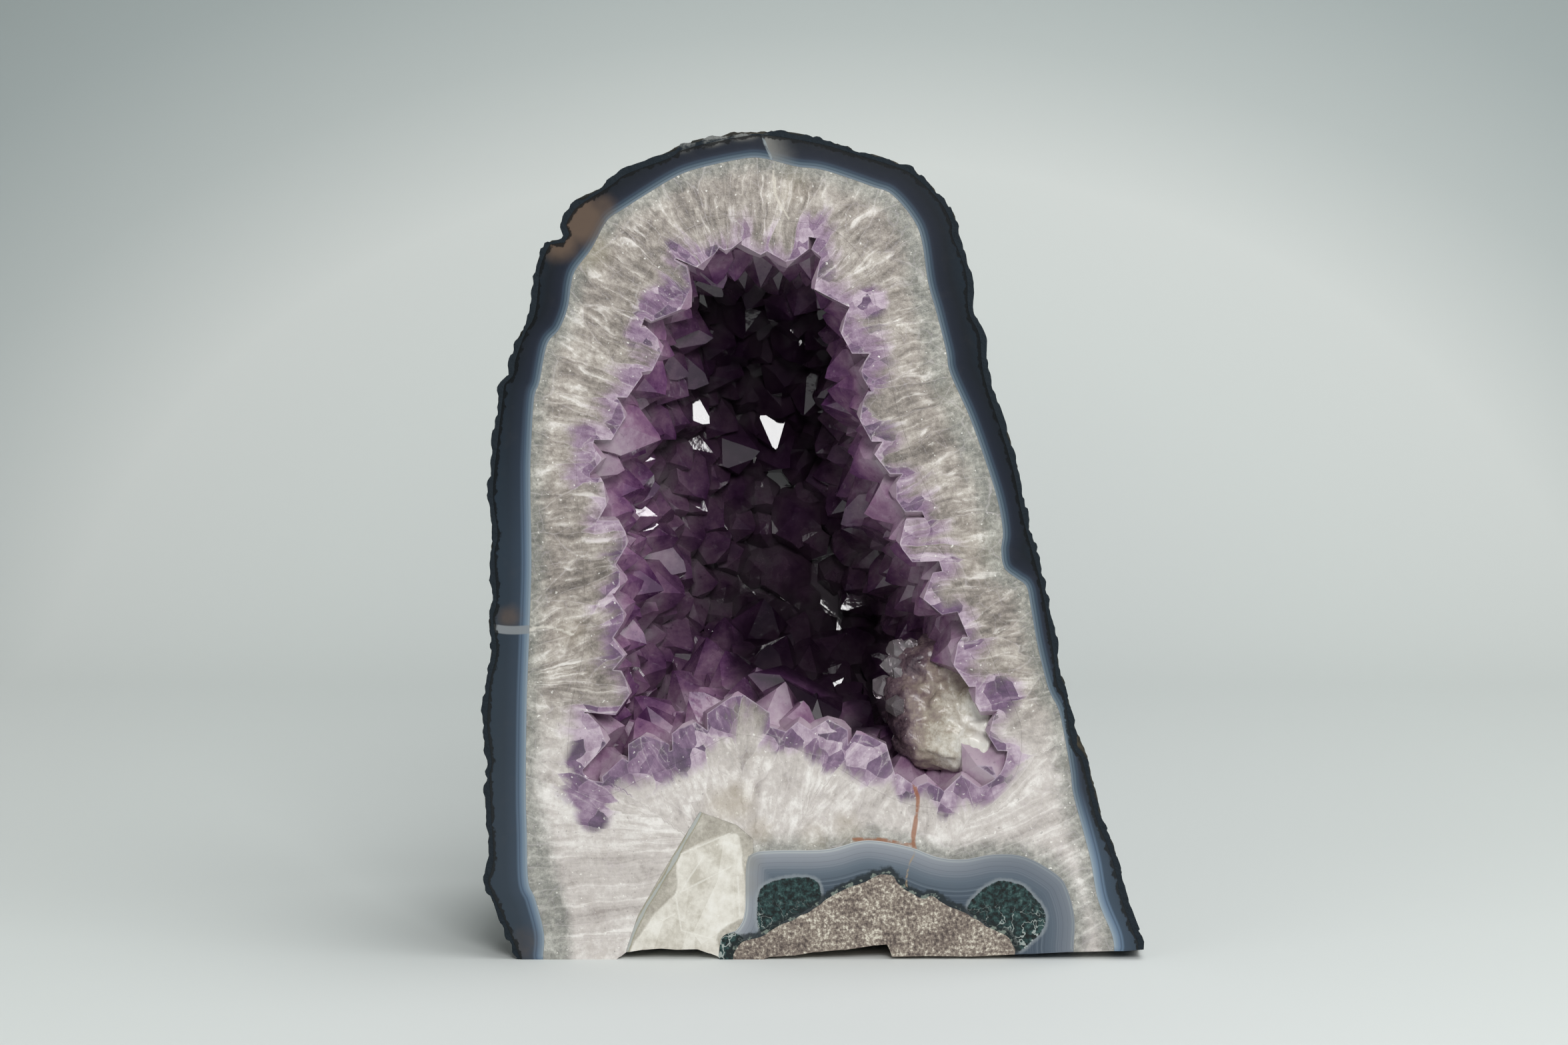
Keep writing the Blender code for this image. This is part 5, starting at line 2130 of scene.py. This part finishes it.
        real = node(tree, "GeometryNodeRealizeInstances", {"Geometry": cut})
        finished = node(tree, "GeometryNodeSetMaterial", {
            "Geometry": real, "Material": given["Finish"],
        })
        node(tree, "NodeGroupOutput", {0: finished})
        return tree, names

    def hollow(self, finish: bpy.types.Material) -> bpy.types.Mesh:
        """The hollow between the crystals, as a closed body without sealed pockets.

        Args:
            finish: The finish of the crystal faces.

        Returns:
            The hollow's mesh.
        """
        dice = random.Random(SEED)
        inner = solid("hollow", self.layers.bowl().grown(-self.layer), CUTTER_OVERRUN)
        lowest, highest = self.heights
        to_metres = Matrix.Scale(1 / MM, 4)
        kinds = []
        for index in range(self.kinds):
            height = lowest + (highest - lowest) * index / (self.kinds - 1)
            kinds.append(quartz_shape(dice, height).moved(to_metres))
        groups = {
            "gems": kinds,
            "rim_gems": self.rim_shapes(dice) + self.flashing_shapes(dice, surface_of(inner)),
        }
        collections = {}
        for name, shapes in groups.items():
            collections[name] = bpy.data.collections.new(name)
            bpy.context.scene.collection.children.link(collections[name])
            for index, shape in enumerate(shapes):
                gem = bpy.data.objects.new(f"{name}_{index:02d}", shape.mesh(f"{name}_{index:02d}"))
                collections[name].objects.link(gem)
        body = linked("hollow", inner)
        tree, names = self.tree()
        modifier = body.modifiers.new("crystal_lining", "NODES")
        modifier.node_group = tree
        values = {
            "Crystals": collections["gems"], "Rim": collections["rim_gems"],
            "Spacing": self.spacing * MM, "Narrowest": self.widths[0] * MM,
            "Widest": self.widths[1] * MM, "Tilt": self.tilt, "Front": (FACE_Y + self.front) * MM,
            "Seed": SEED, "Finish": finish,
        }
        for name, value in values.items():
            modifier[names[name]] = value
        mesh = evaluated(body)
        for collection in collections.values():
            for gem in list(collection.objects):
                bpy.data.objects.remove(gem, do_unlink=True)
            bpy.data.collections.remove(collection)
        LOG.info("hollow cut by crystals: %d faces", len(mesh.polygons))
        return largest_part(mesh)

    def build(self) -> bpy.types.Object:
        """Make the crust: the bowl less the hollow between the crystals.

        Returns:
            The piece, with the sawn caps, the crystal faces and the root side as its materials.
        """
        finishes = [self.cap.build(), self.faces.build(), self.root.build()]
        bowl = self.layers.bowl().grown(-JOINT)
        mesh = carved(solid("crust", bowl, 0.0), [(Cut.REMOVE, self.hollow(finishes[1]))])
        with_fine_face(mesh, self.grid)
        wall = surface_of(solid("bowl", bowl, 0.0))
        points = points_of(mesh)
        away = np.array([wall.find_nearest(Vector(point))[3] for point in points])
        near = away < self.grown_within
        grown = np.array([all(near[index] for index in face.vertices) for face in mesh.polygons])
        numbers = np.where(on_face(mesh), 0, np.where(grown, 2, 1))
        mesh.polygons.foreach_set("material_index", numbers.astype(np.int32))
        touched = np.zeros((3, len(points)), bool)
        for face, kind in zip(mesh.polygons, numbers):
            touched[kind, list(face.vertices)] = True
        self.teeth = points[touched[0] & touched[1]][:, [0, 2]]
        measure_quartz(mesh, self.plan, self.teeth)
        # The painted shade is kept on each point, darkest deep inside, high up and behind the mound
        store(mesh, lift=np.maximum(away - self.layer, 0.0), gloom=self.gloom(points))
        return dressed("amethyst_crust", mesh, finishes, numbers == 2)

    def gloom(self, points: np.ndarray) -> np.ndarray:
        """How much painted shade darkens the amethyst: most deep inside, high up and in the pocket
        behind the mound.

        Args:
            points: The points as x, y, z rows.

        Returns:
            One number for each point, from nought to one.
        """
        x, back, z = points[:, 0], points[:, 1] - FACE_Y, points[:, 2]
        high = fade(z, *self.high)
        start, end = (place - change * high for place, change in zip(self.deep, self.deep_high))
        pocket = fade(x, *self.pocket_left) * fade(x, *self.pocket_right)
        pocket *= fade(z, *self.pocket_below) * fade(back, *self.pocket_behind)
        root, tip = np.array(self.lying_root), np.array(self.lying_tip)
        step = np.column_stack([x, back, z]) - root
        share = np.clip(step @ (tip - root) / np.sum((tip - root) ** 2), 0.0, 1.0)
        lying = np.linalg.norm(step - share[:, None] * (tip - root), axis=1)
        pocket *= np.where(lying < self.lying_width / 2, self.lying_share, 1.0)
        return np.maximum(fade(back, start, end), pocket)


def largest_part(mesh: bpy.types.Mesh) -> bpy.types.Mesh:
    """The mesh without the small loose parts that lie sealed between crystals.

    Args:
        mesh: The mesh, changed in place.

    Returns:
        The same mesh.
    """
    work = bmesh.new()
    work.from_mesh(mesh)
    bmesh.ops.remove_doubles(work, verts=work.verts, dist=WELD / 2)
    bmesh.ops.dissolve_degenerate(work, edges=work.edges, dist=WELD / 2)
    work.verts.ensure_lookup_table()
    part = [-1] * len(work.verts)
    work.verts.index_update()
    sizes: list[int] = []
    for corner in work.verts:
        if part[corner.index] >= 0:
            continue
        part[corner.index] = len(sizes)
        frontier, size = [corner], 0
        while frontier:
            here = frontier.pop()
            size += 1
            for edge in here.link_edges:
                other = edge.other_vert(here)
                if part[other.index] < 0:
                    part[other.index] = len(sizes)
                    frontier.append(other)
        sizes.append(size)
    main_part = sizes.index(max(sizes))
    stray = [corner for corner in work.verts if part[corner.index] != main_part]
    bmesh.ops.delete(work, geom=stray, context="VERTS")
    work.to_mesh(mesh)
    work.free()
    return mesh


# Where the pale calcite grew from, and the tips of its crystals with their widths: x, back, z, width
CLUSTER_ROOT = (56.5, 17.0, 78.0)
CLUSTER_TIPS: Rows = (
    (32.0, 33.0, 112.0, 17), (41.0, 35.0, 115.5, 17), (50.5, 27.0, 112.0, 16), (25.5, 29.0, 99.0, 18),
    (25.5, 26.0, 87.0, 20), (28.0, 20.0, 77.0, 18), (42.0, 14.0, 71.0, 17), (61.0, 17.0, 103.0, 15),
    (30.0, 22.0, 108.0, 9), (40.0, 21.0, 113.0, 8), (47.0, 19.0, 110.0, 7), (27.0, 18.0, 97.0, 9),
    (33.0, 15.0, 91.0, 8), (40.0, 13.5, 98.0, 7), (31.0, 15.0, 83.0, 8), (55.0, 12.5, 70.0, 15),
    (60.0, 15.0, 89.0, 13),
)
# Small clear crystals on the calcite's upper left: x, z and width
SPARKLES: Rows = (
    (25.5, 104.5, 9.5), (30.5, 110.5, 8.0), (25.0, 96.0, 8.0), (36.0, 114.0, 6.0), (30.0, 91.0, 7.0),
    (31.0, 102.0, 6.0),
)


@dataclass
class CalciteCluster:
    """The pale lump of crystals grown together on the lower right wall of the hollow."""

    # The lump: its grain, its ripples by size and height, and the root of its crystals
    voxel: float = 0.9
    ripples: tuple[tuple[float, float], ...] = ((6.5, 1.1), (2.2, 0.5))
    root: float = 0.5
    # How chalky it is around a place, and how much less so in the murk at its lower left
    chalk_centre: tuple[float, float] = (65.0, 80.0)
    chalk_most: float = 1.2
    chalk_reach: float = 40.0
    murk: float = 0.35
    murk_left: tuple[float, float] = (46.0, 26.0)
    murk_below: tuple[float, float] = (104.0, 79.0)
    # The small clear crystals on it, in their widths, and how far off the lump they begin
    sparkle_root: float = 0.9
    sparkle_heights: tuple[float, float] = (0.5, 0.9)
    sparkle_lean: tuple[tuple[float, float], tuple[float, float]] = ((-0.5, 0.2), (0, 0.6))
    clear_from: float = 0.05
    # Corners of the box that the piece stays in
    limits: tuple[tuple[float, float, float], ...] = ((21.9, -78.9, 64.8), (67.7, -25.6, 117.2))
    finish: PaleCalcite = field(default_factory=PaleCalcite)
    sparkle: ClearQuartz = field(default_factory=ClearQuartz)

    def lump(self, dice: random.Random) -> bpy.types.Mesh:
        """The calcite crystals as one soft, rippled lump.

        Args:
            dice: The source of their small differences.

        Returns:
            The lump's mesh.
        """
        root = Vector((CLUSTER_ROOT[0], FACE_Y + CLUSTER_ROOT[1], CLUSTER_ROOT[2]))
        meshes = []
        for index, (x, back, z, width) in enumerate(CLUSTER_TIPS):
            heading = Vector((x, FACE_Y + back, z)) - root
            shape = quartz_shape(dice, heading.length / width, self.root)
            place = stood(root, heading) @ Matrix.Scale(width, 4)
            meshes.append(shape.moved(place).mesh(f"calcite_{index:02d}"))
        body = linked("calcite", carved(meshes[0], [(Cut.JOIN, other) for other in meshes[1:]]))
        grown = body.modifiers.new("grown_together", "REMESH")
        grown.mode = "VOXEL"
        grown.voxel_size = self.voxel * MM
        worn = body.modifiers.new("worn", "SMOOTH")
        worn.iterations = 1
        mesh = evaluated(body)
        points = points_of(mesh)
        outwards = np.array([tuple(item.vector) for item in mesh.vertex_normals])
        rise = np.zeros(len(points))
        for size, height in self.ripples:
            rise += [noise.noise(Vector(point) / size) * height for point in points]
        moved = (points + outwards * rise[:, None]) * MM
        mesh.vertices.foreach_set("co", np.ascontiguousarray(moved.ravel(), np.float32))
        mesh.update()
        return mesh

    def build(self) -> bpy.types.Object:
        """Make the cluster: the lump, with small clear crystals standing on it.

        Returns:
            The piece, chalky by its lower right end and murky at its lower left.
        """
        dice = random.Random(SEED + 4)
        lump = self.lump(dice)
        surface = surface_of(lump)
        sideways, upwards = self.sparkle_lean
        cuts = []
        for index, (x, z, width) in enumerate(SPARKLES):
            start = Vector((x, FACE_Y, z))
            hit, normal, _, _ = surface.ray_cast(start, Vector((0, 1, 0)))
            if hit is None:
                hit, normal, _, _ = surface.find_nearest(start + Vector((0, 30, 0)))
            lean = Vector((dice.uniform(*sideways), -0.5, dice.uniform(*upwards)))
            place = stood(hit, (normal + lean).normalized()) @ Matrix.Scale(width, 4)
            shape = quartz_shape(dice, dice.uniform(*self.sparkle_heights), self.sparkle_root)
            cuts.append((Cut.JOIN, shape.moved(place).mesh(f"sparkle_{index:02d}")))
        box = box_mesh("cluster_limits", *self.limits)
        mesh = largest_part(carved(lump, [*cuts, (Cut.KEEP, box)]))
        points = points_of(mesh)
        away = np.array([surface.find_nearest(Vector(point))[3] for point in points]) > self.clear_from
        clear = np.array([any(away[index] for index in face.vertices) for face in mesh.polygons])
        mesh.polygons.foreach_set("material_index", clear.astype(np.int32))
        x, _, z = points.T
        gap = np.hypot(x - self.chalk_centre[0], z - self.chalk_centre[1]) / self.chalk_reach
        murk = self.murk * fade(x, *self.murk_left) * fade(z, *self.murk_below)
        store(mesh, chalk=np.clip(self.chalk_most - gap - murk, 0.0, 1.0))
        finishes = [self.finish.build(), self.sparkle.build()]
        return dressed("calcite_cluster", mesh, finishes, ~clear)


@dataclass
class Studio:
    """The paper sweep, the soft lights and the camera: in metres and watts, the lens in millimetres."""

    width: float = 6.0
    near: float = -1.0
    far: float = 1.5
    bend: float = 0.7
    top: float = 3.2
    bend_steps: int = 16
    middle: Vector = field(default_factory=lambda: Vector((0.0, 0.0, 0.15)))
    high_wall: Vector = field(default_factory=lambda: Vector((0.0, 1.5, 0.9)))
    ambient: float = 0.14
    air: str = "#dfe4e6"
    sensor: float = 36.0
    lens: float = 85.0
    clip: tuple[float, float] = (0.05, 20.0)
    finish: PaperSweep = field(default_factory=PaperSweep)

    def sweep(self) -> bpy.types.Object:
        """The floor that bends up into the wall.

        Returns:
            The sweep.
        """
        start = self.far - self.bend
        profile = [(self.near, 0.0), (start, 0.0)]
        for step in range(1, self.bend_steps + 1):
            angle = step * math.pi / 2 / self.bend_steps
            rise = self.bend - self.bend * math.cos(angle)
            profile.append((start + self.bend * math.sin(angle), rise))
        profile.append((self.far, self.top))
        points = [(x, y, z) for x in (-self.width / 2, self.width / 2) for y, z in profile]
        count = len(profile)
        faces = [(index, count + index, count + index + 1, index + 1) for index in range(count - 1)]
        mesh = bpy.data.meshes.new("paper_sweep")
        mesh.from_pydata(points, [], faces)
        mesh.materials.append(self.finish.build())
        mesh.polygons.foreach_set("use_smooth", [True] * len(mesh.polygons))
        return linked("paper_sweep", mesh)

    def light(self, name: str, place: Vector, target: Vector, power: float, size: float) -> None:
        """Add a square soft light.

        Args:
            name: The light's name.
            place: Where it is.
            target: What it is turned to.
            power: Its power in watts.
            size: Its side in metres.
        """
        lamp = bpy.data.lights.new(name, "AREA")
        lamp.energy, lamp.size = power, size
        obj = bpy.data.objects.new(name, lamp)
        obj.location = place
        obj.rotation_euler = (target - place).to_track_quat("-Z", "Y").to_euler()
        bpy.context.scene.collection.objects.link(obj)

    def camera(self) -> None:
        """Add the camera: a short telephoto in front, looking slightly down."""
        data = bpy.data.cameras.new("camera")
        data.sensor_width, data.lens = self.sensor, self.lens
        data.clip_start, data.clip_end = self.clip
        obj = bpy.data.objects.new("camera", data)
        obj.location = CAMERA_PLACE * MM
        obj.rotation_euler = (math.pi / 2 - CAMERA_PITCH, 0.0, 0.0)
        bpy.context.scene.collection.objects.link(obj)
        bpy.context.scene.camera = obj

    def build(self) -> None:
        """Set up the studio."""
        self.sweep()
        self.light("key", Vector((1.1, -1.0, 1.2)), self.middle, power=13.0, size=1.5)
        self.light("front", FRONT_PLACE * MM, self.middle, power=14.0, size=0.5)
        self.light("fill", Vector((-1.5, -1.4, 0.9)), self.middle, power=5.5, size=1.4)
        self.light("wall", Vector((0.5, 0.2, 2.4)), self.high_wall, power=28.0, size=1.6)
        world = bpy.data.worlds.new("studio air")
        world.use_nodes = True
        colour, strength = world.node_tree.nodes["Background"].inputs[:2]
        colour.default_value, strength.default_value = linear(self.air), self.ambient
        bpy.context.scene.world = world
        bpy.context.scene.view_settings.view_transform = "Standard"
        self.camera()
        LOG.info("studio: sweep, four lights and the camera")


def main() -> None:
    """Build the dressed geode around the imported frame."""
    logging.basicConfig(level=logging.INFO, format="%(name)s: %(message)s")
    noise.seed_set(SEED)
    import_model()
    layers, plan = Layers(), Plan()
    crust = AmethystCrust(layers, plan)
    crust.build()
    QuartzLining(layers, plan, crust.teeth).build()
    AgateShell(layers, plan).build()
    BasaltRind(layers).build()
    BasaltTongue(layers, plan).build()
    CalciteBlock(layers, plan).build()
    CalciteCluster().build()
    Studio().build()


if __name__ == "__main__":
    main()
